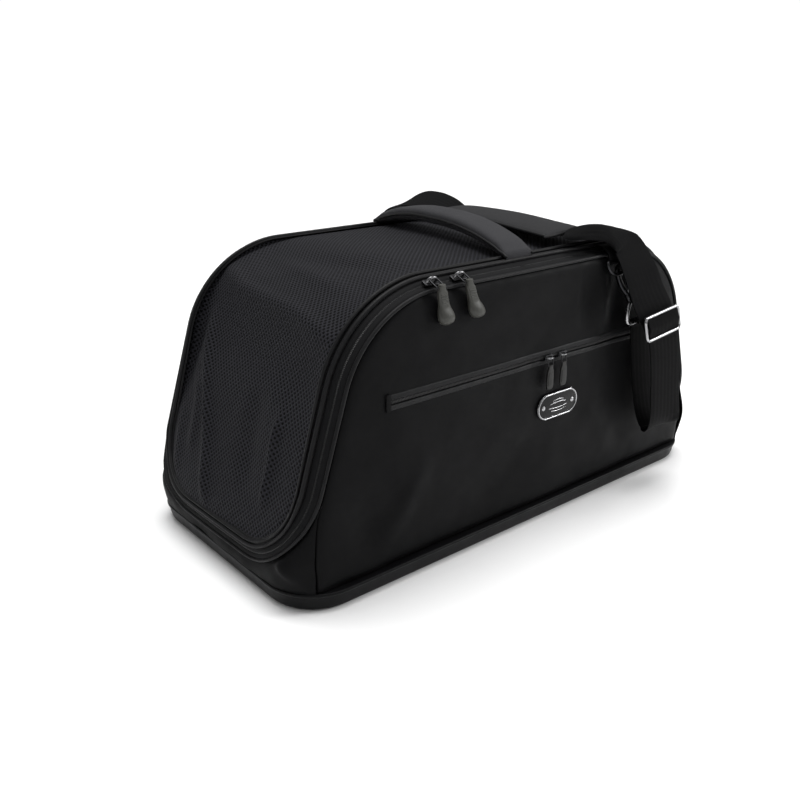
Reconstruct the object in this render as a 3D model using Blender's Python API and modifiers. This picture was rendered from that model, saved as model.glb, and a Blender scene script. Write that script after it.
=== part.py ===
"""Soft-sided pet carrier bag on a moulded tray, with zipped mesh end doors, a carry handle and a shoulder strap.

Metres, +Z up. X runs along the bag, -Y faces the front panel, and the origin is the centre of the tray's underside.
"""

import math

import bmesh
import bpy
from mathutils import Matrix, Vector

MM = 0.001
OBJECT_NAME = "pet_carrier_bag"
GAP = 0.3 * MM
WELD = 0.001 * MM

# Tray: bottom outline, lip outline, height, rim width and floor thickness.
TRAY_HALF_X, TRAY_HALF_Y = 275 * MM, 137.4 * MM
LIP_HALF_X, LIP_HALF_Y = 280 * MM, 139.5 * MM
TRAY_HEIGHT = 18 * MM
TRAY_RIM = 14 * MM
TRAY_FLOOR = 4 * MM
TRAY_CORNER = 50 * MM
BODY_BOTTOM = TRAY_HEIGHT + GAP

# Side view of the bag: two corner arcs joined by a flat top, then sides that lean out.
ARCH_RADIUS = 99 * MM
ARCH_X = 128 * MM
ARCH_Z = 158 * MM
LEAN = math.radians(17.6)
KNEE_Z = 98 * MM
LEAN_END_Z = 45 * MM
FOOT_SLOPE = 0.07

# The band between the panel's edge (d = 0) and the mesh (d = 1).
PANEL_Y = 131 * MM
MESH_Y = 113 * MM
BAND_RISE = 9 * MM
BAND_TILT = math.atan2(BAND_RISE, PANEL_Y - MESH_Y)
U_BOTTOM = (31 * MM, 45 * MM)
U_RADIUS = (80 * MM, 62 * MM)
CORNER_FROM_Y = 89.5 * MM
ARC_STEPS = 8
CORNER_STEPS = 6

# Panels.
FABRIC = 1.5 * MM
PANEL_FACE_Y = 133.2 * MM
PANEL_BULGE = 3.8 * MM
POCKET_HALF = 187 * MM
POCKET_Z = 173 * MM
POCKET_HEIGHT = 14 * MM

# End doors turn on a line across the top corner.
HINGE_ARC = math.radians(45)
HINGE_X = ARCH_X + (ARCH_RADIUS + BAND_RISE) * math.sin(HINGE_ARC)
HINGE_Z = ARCH_Z + (ARCH_RADIUS + BAND_RISE) * math.cos(HINGE_ARC)
HINGE_GAP = math.radians(0.35)
PIPING_GAP = math.radians(1.4)
MESH_THICKNESS = 3 * MM
ROOF_CROWN = 5 * MM

# Where things sit across the band.
CHAIN_D, CHAIN_H, CHAIN_R = 0.36, 1.5 * MM, 1.2 * MM
OUTER_TAPE_D = (0.03, 0.31)
INNER_TAPE_D = (0.6, 0.97)
INNER_PIPING_D, INNER_PIPING_H, INNER_PIPING_R = 0.8, 2.0 * MM, 1.6 * MM
OUTER_PIPING_H, OUTER_PIPING_R = 2.6 * MM, 2.2 * MM

# Zip sliders and pulls.
SLIDER_H = 2.9 * MM
LEFT_SLIDER_X, RIGHT_SLIDER_X = -130 * MM, -99 * MM
BAR_H = 4.5 * MM
PULL_Y = -139.3 * MM
PULL_RING_Z = 261.5 * MM
POCKET_SLIDER_X = (9 * MM, 28 * MM)
POCKET_SLIDER_SCALE = 0.62
POCKET_SLIDER_Y = -138.7 * MM

# Badge.
BADGE_X, BADGE_Z = 27 * MM, 121.5 * MM
BADGE_LENGTH, BADGE_HEIGHT, BADGE_THICKNESS = 57 * MM, 26 * MM, 1.8 * MM
BADGE_BACK_Y = -137.3 * MM

# Carry handle: runs across the roof.
HANDLE_X, HANDLE_WIDTH = -13 * MM, 36 * MM
HANDLE_END_Y = 104 * MM
HANDLE_SKEW = 30 * MM  # its back end lies this much further to the right

# Strap.
WEB_WIDTH, WEB_THICKNESS = 50 * MM, 1.6 * MM
PAD_WIDTH, PAD_THICKNESS = 60 * MM, 9 * MM
ADJUSTER_LENGTH, ADJUSTER_HEIGHT, ADJUSTER_THICKNESS = 58 * MM, 29 * MM, 3 * MM


def mm(*values):
    """A point written in millimetres."""
    return Vector(values) * MM


def smooth(t):
    t = min(max(t, 0.0), 1.0)
    return t * t * (3 - 2 * t)


# ---- The bag's form ----


def profile_half(z, rise=0.0):
    """Half the bag's length at height z, for the outline raised by rise from the panel's edge."""
    radius = ARCH_RADIUS + rise
    join_z = ARCH_Z + radius * math.sin(LEAN)
    if z >= join_z:
        return ARCH_X + math.sqrt(max(radius**2 - (z - ARCH_Z) ** 2, 0.0))
    return ARCH_X + radius * math.cos(LEAN) + (join_z - z) * math.tan(LEAN)


def end_x(y, z):
    """How far out the end face lies: a leaning face whose corners round off towards the tray."""
    face = profile_half(max(z, LEAN_END_Z), BAND_RISE) + max(LEAN_END_Z - z, 0.0) * FOOT_SLOPE
    across = min(max((abs(y) - MESH_Y) / (PANEL_Y - MESH_Y), 0.0), 1.0)
    chamfer = BAND_RISE / math.cos(LEAN) * across
    past = max(abs(y) - CORNER_FROM_Y, 0.0)
    rounding = TRAY_CORNER - math.sqrt(TRAY_CORNER**2 - past**2)
    low = smooth((KNEE_Z - z) / (KNEE_Z - 22 * MM))
    return face - chamfer * (1 - low) - rounding * low


def panel_half(z):
    """Half-length of the front and back panels at height z."""
    if z >= KNEE_Z:
        return profile_half(z)
    return end_x(PANEL_Y, z)


def panel_face(x, z):
    """The panel's outer surface bulges a little between its sewn edges."""
    middle = (257 * MM + BODY_BOTTOM) / 2
    v = (z - middle) / (257 * MM - middle)
    u = x / panel_half(z)
    return PANEL_FACE_Y + PANEL_BULGE * (1 - min(abs(v), 1) ** 4) * (1 - min(abs(u), 1) ** 8)


def arc_point(angle, d, h, front=-1):
    """A point on the band over a top corner or the roof; angle 0 is straight up, negative is the left corner."""
    rise = BAND_RISE * d + h * math.cos(BAND_TILT)
    y = PANEL_Y - (PANEL_Y - MESH_Y) * d + h * math.sin(BAND_TILT)
    radius = ARCH_RADIUS + rise
    side = math.copysign(ARCH_X, angle)
    return Vector((side + radius * math.sin(angle), front * y, ARCH_Z + radius * math.cos(angle)))


def arc_run(d, h, start, stop, front=-1, steps=ARC_STEPS):
    """Points along the band from one arc angle to another, crossing the flat roof when the sign changes."""
    points = []
    if start < 0:
        last = min(stop, 0.0)
        points += [arc_point(start + (last - start) * i / steps, d, h, front) for i in range(steps + 1)]
        if stop > 0:
            points[-1] = arc_point(-1e-9, d, h, front)
    if stop > 0:
        first = max(start, 0.0)
        run = [arc_point(first + (stop - first) * i / steps, d, h, front) for i in range(steps + 1)]
        if start < 0:
            run[0] = arc_point(1e-9, d, h, front)
        points += run
    return points


def u_run(side, d, h):
    """Points of the band round an end's U, from the front leg's top down, across and up the back leg."""
    half = PANEL_Y - (PANEL_Y - MESH_Y) * d
    bottom = U_BOTTOM[0] + (U_BOTTOM[1] - U_BOTTOM[0]) * d
    radius = U_RADIUS[0] + (U_RADIUS[1] - U_RADIUS[0]) * d
    out = Vector((side * math.cos(LEAN), 0, math.sin(LEAN)))
    points = []
    for i in range(CORNER_STEPS + 1):
        angle = math.pi / 2 * i / CORNER_STEPS
        y = -(half - radius) - radius * math.cos(angle)
        z = bottom + radius - radius * math.sin(angle)
        point = Vector((side * end_x(y, z), y, z))
        radial = Vector((0, -math.cos(angle), -math.sin(angle)))
        points.append(point + h * (math.cos(BAND_TILT) * out + math.sin(BAND_TILT) * radial))
    middle = points[-1].copy()
    middle.y = 0
    return points + [middle] + [Vector((p.x, -p.y, p.z)) for p in reversed(points)]


def side_stop():
    """The arc angle where the corner arc meets the leaning side."""
    return math.pi / 2 - LEAN


def band_loop(d, h):
    """The whole closed line round the bag: front edge, right end, back edge, left end."""
    end = side_stop()
    front = arc_run(d, h, -end, end, -1)
    back = arc_run(d, h, -end, end, 1)
    return front + u_run(1, d, h) + list(reversed(back)) + list(reversed(u_run(-1, d, h)))


def door_run(side, d, h, gap=HINGE_GAP):
    """The open line round one door: from the hinge at the front, round the U, to the hinge at the back."""
    start, stop = HINGE_ARC + gap, side_stop()
    if side > 0:
        front = arc_run(d, h, start, stop, -1, 4)
        back = list(reversed(arc_run(d, h, start, stop, 1, 4)))
    else:
        front = list(reversed(arc_run(d, h, -stop, -start, -1, 4)))
        back = arc_run(d, h, -stop, -start, 1, 4)
    return front + u_run(side, d, h) + back


# ---- Building tools ----


def clear_scene():
    for item in list(bpy.data.objects):
        bpy.data.objects.remove(item, do_unlink=True)
    for group in list(bpy.data.collections):
        bpy.data.collections.remove(group)


def new_collection(name):
    group = bpy.data.collections.new(name)
    bpy.context.scene.collection.children.link(group)
    return group


def material(name, color, roughness, metallic=0.0):
    found = bpy.data.materials.get(name)
    if found:
        return found
    made = bpy.data.materials.new(name)
    made.use_nodes = True
    shader = made.node_tree.nodes["Principled BSDF"]
    shader.inputs["Base Color"].default_value = (*color, 1)
    shader.inputs["Roughness"].default_value = roughness
    shader.inputs["Metallic"].default_value = metallic
    return made


FINISHES = {
    "tray": ((0.018, 0.018, 0.02), 0.55, 0.0),
    "fabric": ((0.014, 0.014, 0.016), 0.8, 0.0),
    "mesh": ((0.03, 0.03, 0.033), 0.85, 0.0),
    "tape": ((0.012, 0.012, 0.013), 0.85, 0.0),
    "piping": ((0.015, 0.015, 0.017), 0.6, 0.0),
    "foam": ((0.08, 0.08, 0.085), 0.95, 0.0),
    "lining": ((0.05, 0.05, 0.055), 0.9, 0.0),
    "padding": ((0.045, 0.045, 0.05), 0.85, 0.0),
    "webbing": ((0.02, 0.02, 0.022), 0.7, 0.0),
    "rubber": ((0.09, 0.09, 0.08), 0.5, 0.0),
    "nickel": ((0.55, 0.55, 0.56), 0.25, 1.0),
    "black_metal": ((0.03, 0.03, 0.032), 0.3, 1.0),
    "board": ((0.05, 0.045, 0.04), 0.8, 0.0),
    "steel": ((0.4, 0.4, 0.4), 0.4, 1.0),
}


def adopt(item, finish, group=None):
    """Puts an object in its collection and gives it a material of its own."""
    color, roughness, metallic = FINISHES[finish]
    made = material(f"{item.name}_{finish}", color, roughness, metallic)
    item.data.materials.clear()
    item.data.materials.append(made)
    (group or PARTS).objects.link(item)
    return item


def mesh_object(name, vertices, faces, finish):
    data = bpy.data.meshes.new(name)
    data.from_pydata([tuple(v) for v in vertices], [], faces)
    data.update()
    return adopt(bpy.data.objects.new(name, data), finish)


def sheet(name, rows, thickness, outward, finish, closed=False):
    """A skin through rows of points, thickened inwards; closed joins the last row to the first."""
    columns = len(rows[0])
    vertices = [p for row in rows for p in row]
    faces = []
    row_pairs = [(r, r + 1) for r in range(len(rows) - 1)]
    if closed:
        row_pairs.append((len(rows) - 1, 0))
    for low, high in row_pairs:
        for c in range(columns - 1):
            faces.append([low * columns + c, low * columns + c + 1, high * columns + c + 1, high * columns + c])
    item = mesh_object(name, vertices, faces, finish)
    data = item.data
    middle = data.polygons[len(data.polygons) // 2]
    if middle.normal.dot(outward(middle.center)) < 0:
        data.flip_normals()
    solid = item.modifiers.new("thickness", "SOLIDIFY")
    solid.thickness = thickness
    solid.offset = -1
    solid.use_even_offset = True
    return item


def loft(name, sections, finish):
    """A closed body through rings of points, with flat ends."""
    count = len(sections[0])
    vertices = [p for ring in sections for p in ring]
    faces = [[*range(count)][::-1], [len(vertices) - count + i for i in range(count)]]
    for s in range(len(sections) - 1):
        for i in range(count):
            a, b = s * count + i, s * count + (i + 1) % count
            faces.append([a, b, b + count, a + count])
    item = mesh_object(name, vertices, faces, finish)
    shape = bmesh.new()
    shape.from_mesh(item.data)
    bmesh.ops.recalc_face_normals(shape, faces=shape.faces)
    shape.to_mesh(item.data)
    shape.free()
    item.data.shade_smooth()
    item.data.set_sharp_from_angle(angle=math.radians(40))
    return item


def ring_section(center, right, up, half_width, half_height, count=8, squareness=0.6):
    """A rounded-rectangle ring of points."""
    points = []
    for i in range(count):
        angle = 2 * math.pi * (i + 0.5) / count
        c, s = math.cos(angle), math.sin(angle)
        x = math.copysign(abs(c) ** squareness, c) * half_width
        y = math.copysign(abs(s) ** squareness, s) * half_height
        points.append(center + right * x + up * y)
    return points


def tube(name, points, radius, finish, cyclic=False, resolution=1):
    """A round cord, rod or wire."""
    curve = bpy.data.curves.new(name, "CURVE")
    curve.dimensions = "3D"
    curve.bevel_depth = radius
    curve.bevel_resolution = resolution
    curve.use_fill_caps = True
    spline = curve.splines.new("POLY")
    spline.points.add(len(points) - 1)
    for place, point in zip(spline.points, points):
        place.co = (*point, 1)
    spline.use_cyclic_u = cyclic
    return adopt(bpy.data.objects.new(name, curve), finish)


def plate(name, outlines, thickness, y, finish):
    """A flat plate standing in the XZ plane at y; the first outline is the edge, the others are holes."""
    curve = bpy.data.curves.new(name, "CURVE")
    curve.dimensions = "2D"
    curve.fill_mode = "BOTH"
    curve.extrude = thickness / 2
    for outline in outlines:
        spline = curve.splines.new("POLY")
        spline.points.add(len(outline) - 1)
        for place, (x, z) in zip(spline.points, outline):
            place.co = (x, z, 0, 1)
        spline.use_cyclic_u = True
    flat = bpy.data.objects.new(name, curve)
    shape = bmesh.new()
    shape.from_mesh(flat.to_mesh())
    flat.to_mesh_clear()
    bpy.data.objects.remove(flat)
    bmesh.ops.remove_doubles(shape, verts=shape.verts, dist=WELD)
    data = bpy.data.meshes.new(name)
    shape.to_mesh(data)
    shape.free()
    item = adopt(bpy.data.objects.new(name, data), finish)
    item.location = (0, y, 0)
    item.rotation_euler = (math.pi / 2, 0, 0)
    return item


def cut(target, cutter_name, low, high):
    """Cuts a box-shaped opening."""
    bpy.ops.mesh.primitive_cube_add(size=1, location=(low + high) / 2)
    cutter = bpy.context.object
    cutter.name = cutter_name
    cutter.dimensions = high - low
    bpy.ops.object.transform_apply(location=False, rotation=False, scale=True)
    move_to_cutters(cutter)
    boolean(target, cutter, "DIFFERENCE")


def move_to_cutters(cutter):
    for group in list(cutter.users_collection):
        group.objects.unlink(cutter)
    CUTTERS.objects.link(cutter)
    cutter.hide_render = True
    cutter.display_type = "WIRE"


def boolean(target, other, operation):
    step = target.modifiers.new(operation.lower(), "BOOLEAN")
    step.operation = operation
    step.solver = "EXACT"
    step.object = other


def round_outline(half_x, half_y, radius, z, steps=6):
    """A rounded rectangle of points at height z."""
    points = []
    for quarter, (sx, sy) in enumerate(((1, 1), (-1, 1), (-1, -1), (1, -1))):
        for i in range(steps + 1):
            angle = math.pi / 2 * (quarter + i / steps)
            x = sx * (half_x - radius) + radius * math.cos(angle)
            y = sy * (half_y - radius) + radius * math.sin(angle)
            points.append(Vector((x, y, z)))
    return points


def pivot(point, *names):
    """Moves the origins of moving pieces onto their joint's axis; the pieces stay where they are."""
    for name in names:
        item = bpy.data.objects[name]
        turn = item.rotation_euler.to_matrix()
        item.data.transform(Matrix.Translation(turn.inverted() @ (item.location - point)))
        item.location = point


# ---- Tray and floor ----


def make_tray():
    rings = [
        round_outline(LIP_HALF_X - TRAY_RIM, LIP_HALF_Y - TRAY_RIM, TRAY_CORNER - TRAY_RIM, TRAY_FLOOR),
        round_outline(LIP_HALF_X - TRAY_RIM, LIP_HALF_Y - TRAY_RIM, TRAY_CORNER - TRAY_RIM, TRAY_HEIGHT),
        round_outline(LIP_HALF_X, LIP_HALF_Y, TRAY_CORNER, TRAY_HEIGHT),
        round_outline(LIP_HALF_X, LIP_HALF_Y, TRAY_CORNER, TRAY_HEIGHT - 3 * MM),
        round_outline(TRAY_HALF_X, TRAY_HALF_Y, TRAY_CORNER - 3 * MM, 3 * MM),
        round_outline(TRAY_HALF_X - 3 * MM, TRAY_HALF_Y - 3 * MM, TRAY_CORNER - 6 * MM, 0),
    ]
    loft("base_tray", rings, "tray")


def make_floor():
    inner_x, inner_y = LIP_HALF_X - TRAY_RIM, LIP_HALF_Y - TRAY_RIM
    board = [
        round_outline(inner_x - MM, inner_y - MM, 35 * MM, TRAY_FLOOR + GAP),
        round_outline(inner_x - MM, inner_y - MM, 35 * MM, 8 * MM),
    ]
    loft("base_board", board, "board")
    pad = []
    for inset, z in ((6, 8.4), (2, 12), (2, 24), (7, 28)):
        outline = round_outline(inner_x - (inset + 4) * MM, inner_y - (inset + 4) * MM, 34 * MM, z * MM)
        pad.append(outline)
    loft("bedding_pad", pad, "lining")


# ---- Panels ----

PANEL_ROWS = (0.0, 22, 32, 48, 70, 98, 130, 160, 188, 206, 222, 236, 247, 254, 256.7)


def make_panel(name, front):
    rows = []
    for value in PANEL_ROWS:
        z = value * MM if value else BODY_BOTTOM
        half = panel_half(z) - GAP
        row = []
        for i in range(13):
            share = -1 + 2 * i / 12
            x = half * share
            row.append(Vector((x, front * panel_face(x, z), z)))
        rows.append(row)
    return sheet(name, rows, FABRIC, lambda p: Vector((0, front, 0)), "fabric")


def panel_outline(inset, bottom):
    """A closed outline in x and z that follows the panel's edge at a distance."""
    heights = [bottom, 60 * MM, KNEE_Z, 150 * MM, 188 * MM, 210 * MM, 228 * MM, 242 * MM, 251 * MM]
    top = ARCH_Z + ARCH_RADIUS - inset
    right = [(panel_half(z) - inset, z) for z in heights if z < top - MM]
    right.append((ARCH_X, top))
    return right + [(-x, z) for x, z in reversed(right)]


def make_liner(name, front):
    """Foam board with its lining cloth, flat behind the outer fabric."""
    y = front * (PANEL_FACE_Y - FABRIC - 0.9 * MM - 2 * MM)
    plate(name, [panel_outline(6 * MM, BODY_BOTTOM)], 3.4 * MM, y, "foam")


def make_pocket():
    front_panel = bpy.data.objects["front_panel"]
    slit = 3 * MM
    cut(
        front_panel,
        "pocket_slit_cutter",
        Vector((-POCKET_HALF + 4 * MM, -150 * MM, POCKET_Z - slit)),
        Vector((POCKET_HALF - 4 * MM, -120 * MM, POCKET_Z + slit)),
    )
    bag = [(-195, 62), (195, 62), (195, 186), (-195, 186)]
    bag_y = -(PANEL_FACE_Y - FABRIC - 0.35 * MM)
    plate("pocket_bag", [[(x * MM, z * MM) for x, z in bag]], 0.5 * MM, bag_y, "lining")

    half, tall = POCKET_HALF, POCKET_HEIGHT / 2
    edge = [(-half, -tall), (half, -tall), (half, tall), (-half, tall)]
    hole_half, hole_tall = POCKET_HALF - 4 * MM, 2.2 * MM
    hole = [(-hole_half, -hole_tall), (hole_half, -hole_tall), (hole_half, hole_tall), (-hole_half, hole_tall)]
    outlines = [[(x, POCKET_Z + z) for x, z in edge], [(x, POCKET_Z + z) for x, z in hole]]
    plate("pocket_welt", outlines, 0.8 * MM, -137.7 * MM, "tape")
    run = [Vector((x * MM, -137.3 * MM, POCKET_Z)) for x in (-181, 181)]
    tube("pocket_zip_chain", run, 1.0 * MM, "tape")


def make_badge():
    radius = BADGE_HEIGHT / 2
    outline = []
    for side, start in ((1, -90), (-1, 90)):
        for i in range(9):
            angle = math.radians(start + 180 * i / 8)
            x = BADGE_X + side * (BADGE_LENGTH / 2 - radius) + radius * math.cos(angle)
            outline.append((x, BADGE_Z + radius * math.sin(angle)))
    plate("badge_plate", [outline], BADGE_THICKNESS, BADGE_BACK_Y - BADGE_THICKNESS / 2, "nickel")
    for name, side in (("badge_rivet_left", -1), ("badge_rivet_right", 1)):
        front = BADGE_BACK_Y - BADGE_THICKNESS - GAP
        rings = []
        for depth, r in ((0.0, 2.4), (0.5, 2.3), (1.0, 1.2)):
            center = Vector((BADGE_X + side * 21 * MM, front - depth * MM, BADGE_Z))
            rings.append(ring_section(center, Vector((1, 0, 0)), Vector((0, 0, 1)), r * MM, r * MM, 8, 1.0))
        loft(name, rings, "nickel")


# ---- Ends and band ----


def outer_u_height(y):
    """Height of the U's outer line above the tray at y."""
    radius = U_RADIUS[0]
    past = max(abs(y) - (PANEL_Y - radius), 0.0)
    return U_BOTTOM[0] + radius - math.sqrt(max(radius**2 - past**2, 0.0))


def make_gusset(name, side):
    """The cloth between an end's U and the tray, which runs up beside the panels as two horns."""
    rows = []
    edge = PANEL_Y - 0.4 * MM
    for i in range(25):
        y = edge * math.sin(math.pi / 2 * (-1 + 2 * i / 24))
        top = outer_u_height(y) - 3.2 * MM
        row = []
        for k in range(5):
            z = BODY_BOTTOM + (top - BODY_BOTTOM) * k / 4
            row.append(Vector((side * end_x(y, z), y, z)))
        rows.append(row)
    sheet(name, rows, FABRIC, lambda p: Vector((side, 0, 0)), "fabric")


def strip(name, lines, thickness, finish, outward, closed=False):
    """A tape between two matching lines of points."""
    rows = [list(pair) for pair in zip(*lines)]
    sheet(name, rows, thickness, outward, finish, closed)


def from_middle(p):
    return Vector((p.x, p.y, p.z - 120 * MM))


def make_band():
    outer = [band_loop(d, 0.0) for d in OUTER_TAPE_D]
    strip("outer_zip_tape", outer, 1.0 * MM, "tape", from_middle, closed=True)
    tube("outer_piping", band_loop(0.0, OUTER_PIPING_H), OUTER_PIPING_R, "piping", cyclic=True)
    tube("main_zip_chain", band_loop(CHAIN_D, CHAIN_H), CHAIN_R, "tape", cyclic=True)
    stop = HINGE_ARC - HINGE_GAP
    for label, front in (("front", -1), ("back", 1)):
        lines = [arc_run(d, 0.0, -stop, stop, front, 4) for d in INNER_TAPE_D]
        strip(f"{label}_roof_tape", lines, 1.0 * MM, "tape", from_middle)
        end = HINGE_ARC - PIPING_GAP
        run = arc_run(INNER_PIPING_D, INNER_PIPING_H, -end, end, front, 4)
        tube(f"{label}_roof_piping", run, INNER_PIPING_R, "piping")
    for label, side in (("left", -1), ("right", 1)):
        lines = [door_run(side, d, 0.0) for d in INNER_TAPE_D]
        strip(f"{label}_door_tape", lines, 1.0 * MM, "tape", from_middle)
        run = door_run(side, INNER_PIPING_D, INNER_PIPING_H, PIPING_GAP)
        tube(f"{label}_door_piping", run, INNER_PIPING_R, "piping")


def make_hoops():
    """Spring-steel hoops sewn under the band hold the soft roof up."""
    end = side_stop()
    for label, front in (("front", -1), ("back", 1)):
        run = arc_run(0.55, -5 * MM, -end, end, front, 6)
        y = run[-1].y
        leg = [Vector((end_x(y, z * MM) - 7 * MM, y, z * MM)) for z in (110, 80, 55, 35)]
        points = [Vector((-p.x, p.y, p.z)) for p in reversed(leg)] + run + leg
        tube(f"{label}_frame_hoop", points, 1.8 * MM, "steel")


def make_roof():
    stop = HINGE_ARC - HINGE_GAP
    angles = [stop * i / 4 for i in range(1, 5)]
    stations = [(-a, -1) for a in reversed(angles)] + [(0, -1), (0, 0), (0, 1)] + [(a, 1) for a in angles]
    rows = []
    for angle, side in stations:
        row = []
        for i in range(9):
            share = -1 + 2 * i / 8
            crown = ROOF_CROWN * (1 - share**2) * math.cos(angle / stop * math.pi / 2) ** 2
            radius = ARCH_RADIUS + BAND_RISE + crown
            x = side * ARCH_X + radius * math.sin(angle)
            z = ARCH_Z + radius * math.cos(angle)
            row.append(Vector((x, share * (MESH_Y - GAP), z)))
        rows.append(row)
    sheet("top_mesh", rows, MESH_THICKNESS, from_middle, "mesh")


def make_door(name, side):
    half, bottom, radius = MESH_Y - GAP, U_BOTTOM[1] + GAP, U_RADIUS[1]
    start, stop = HINGE_ARC + HINGE_GAP, side_stop()
    lines = []
    for i in range(4):
        point = arc_point(start + (stop - start) * i / 4, 1.0, 0.0)
        lines.append((point.x, point.z, half))
    steps = 7
    for i in range(steps + 1):
        angle = math.pi / 2 * i / steps
        z = bottom + radius - radius * math.sin(angle)
        lines.append((profile_half(z, BAND_RISE), z, half - radius + radius * math.cos(angle)))
    rows = []
    for x, z, width in lines:
        row = []
        for i in range(9):
            y = width * (-1 + 2 * i / 8)
            low = end_x(y, z) if z < KNEE_Z else x
            row.append(Vector((side * low, y, z)))
        rows.append(row)
    sheet(name, rows, MESH_THICKNESS, lambda p: Vector((side, 0, 0.3)), "mesh")


# ---- Zip sliders and pulls ----


def box_mesh(shape, low, high):
    """Adds a box to a bmesh, between two corners."""
    matrix = Matrix.Translation((low + high) / 2) @ Matrix.Diagonal((*(high - low), 1))
    bmesh.ops.create_cube(shape, size=1, matrix=matrix)


def make_slider(name, origin, along, across, normal, scale=1.0):
    """A slider's plate with a bridge that the pull's ring turns in."""
    boxes = (
        ((-7, -3.5, 0), (7, 3.5, 3)),
        ((-1.5, -3.5, 2.9), (1.5, -2.3, 6.1)),
        ((-1.5, 2.3, 2.9), (1.5, 3.5, 6.1)),
        ((-1.5, -3.5, 6.0), (1.5, 3.5, 7.2)),
    )
    frame = Matrix((along, across, normal)).transposed().to_4x4()
    frame.translation = origin
    pieces = []
    for index, (low, high) in enumerate(boxes):
        data = bpy.data.meshes.new(name)
        shape = bmesh.new()
        box_mesh(shape, mm(*low) * scale, mm(*high) * scale)
        shape.transform(frame)
        bmesh.ops.recalc_face_normals(shape, faces=shape.faces)
        shape.to_mesh(data)
        shape.free()
        item = bpy.data.objects.new(name if index == 0 else f"{name}_bridge_{index}", data)
        pieces.append(item)
    body = adopt(pieces[0], "black_metal")
    for piece in pieces[1:]:
        CUTTERS.objects.link(piece)
        piece.hide_render = True
        piece.display_type = "WIRE"
        boolean(body, piece, "UNION")
    return body


def make_pull_ring(name, bar, far, half_width, radius):
    """A wire loop: one side lies in the slider's bridge, the other carries the pull."""
    x = Vector((1, 0, 0)) * half_width
    small = Vector((1, 0, 0)) * half_width * 0.75
    way = (far - bar).normalized() * half_width * 0.25
    points = [bar - small, bar + small, bar + x + way, far + x - way, far + small]
    points += [far - small, far - x - way, bar - x + way]
    tube(name, points, radius, "nickel", cyclic=True)


def make_main_pull(name, x, lean):
    """A moulded tongue with a round end, hanging in front of the panel and leaning a little to the right."""
    sections = (
        (264.3, 2.2, 1.5),
        (263.6, 3.2, 2.1),
        (260, 3.3, 2.1),
        (257.6, 4.9, 2.1),
        (252, 5.1, 2.2),
        (245, 5.8, 2.8),
        (240, 7.6, 3.3),
        (236, 8.2, 3.6),
        (232.5, 6.6, 3.0),
        (230.6, 3.2, 1.5),
    )
    rings = []
    for z, half_width, half_thick in sections:
        center = Vector((x + lean * max(PULL_RING_Z - z * MM, 0), PULL_Y, z * MM))
        right, up = Vector((1, 0, 0)), Vector((0, 1, 0))
        rings.append(ring_section(center, right, up, half_width * MM, half_thick * MM))
    pull = loft(name, rings, "rubber")
    low = Vector((x - 6 * MM, PULL_Y - 1.05 * MM, PULL_RING_Z - 1.05 * MM))
    high = Vector((x + 6 * MM, PULL_Y + 1.05 * MM, PULL_RING_Z + 1.05 * MM))
    cut(pull, f"{name}_hole_cutter", low, high)


def make_main_zip():
    across = Vector((0, math.cos(BAND_TILT), math.sin(BAND_TILT)))
    normal = Vector((0, -math.sin(BAND_TILT), math.cos(BAND_TILT)))
    for label, x, lean in (("left", LEFT_SLIDER_X, 0.17), ("right", RIGHT_SLIDER_X, 0.33)):
        seat = arc_point(1e-9, CHAIN_D, SLIDER_H)
        seat.x = x
        make_slider(f"{label}_main_slider", seat, Vector((1, 0, 0)), across, normal)
        pivot(Vector((-ARCH_X, seat.y, ARCH_Z)) if x < -ARCH_X else seat, f"{label}_main_slider")
        bar = seat + normal * BAR_H
        far = Vector((x, PULL_Y, PULL_RING_Z))
        make_pull_ring(f"{label}_main_pull_ring", bar, far, 4.6 * MM, 0.7 * MM)
        make_main_pull(f"{label}_main_pull", x, lean)
        pivot(bar, f"{label}_main_pull", f"{label}_main_pull_ring")


def make_pocket_zip():
    along, across, normal = Vector((1, 0, 0)), Vector((0, 0, 1)), Vector((0, -1, 0))
    for label, x in zip(("left", "right"), POCKET_SLIDER_X):
        seat = Vector((x, POCKET_SLIDER_Y, POCKET_Z))
        make_slider(f"{label}_pocket_slider", seat, along, across, normal, POCKET_SLIDER_SCALE)
        bar = seat + normal * BAR_H * POCKET_SLIDER_SCALE
        far = bar + mm(0, -0.9, -8.5)
        make_pull_ring(f"{label}_pocket_pull_ring", bar, far, 3.2 * MM, 0.5 * MM)
        right = [(2.2, 0), (2.2, 3), (3.5, 6), (3.5, 23), (2.5, 24.5)]
        outline = right + [(-a, b) for a, b in reversed(right)]
        top = far.z - 0.9 * MM
        shape = [(x + a * MM, top - b * MM) for a, b in outline]
        plate(f"{label}_pocket_pull", [shape], 1.4 * MM, far.y, "rubber")
        pivot(seat, f"{label}_pocket_slider")
        pivot(bar, f"{label}_pocket_pull", f"{label}_pocket_pull_ring")


# ---- Carry handle ----


def handle_top(y):
    """Height of the handle's upper face along its length."""
    t = abs(y) / MESH_Y
    return (296.5 - 17.5 * t**2.4) * MM


def handle_x(y):
    return HANDLE_X + HANDLE_SKEW * (y / HANDLE_END_Y + 1) / 2


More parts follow.
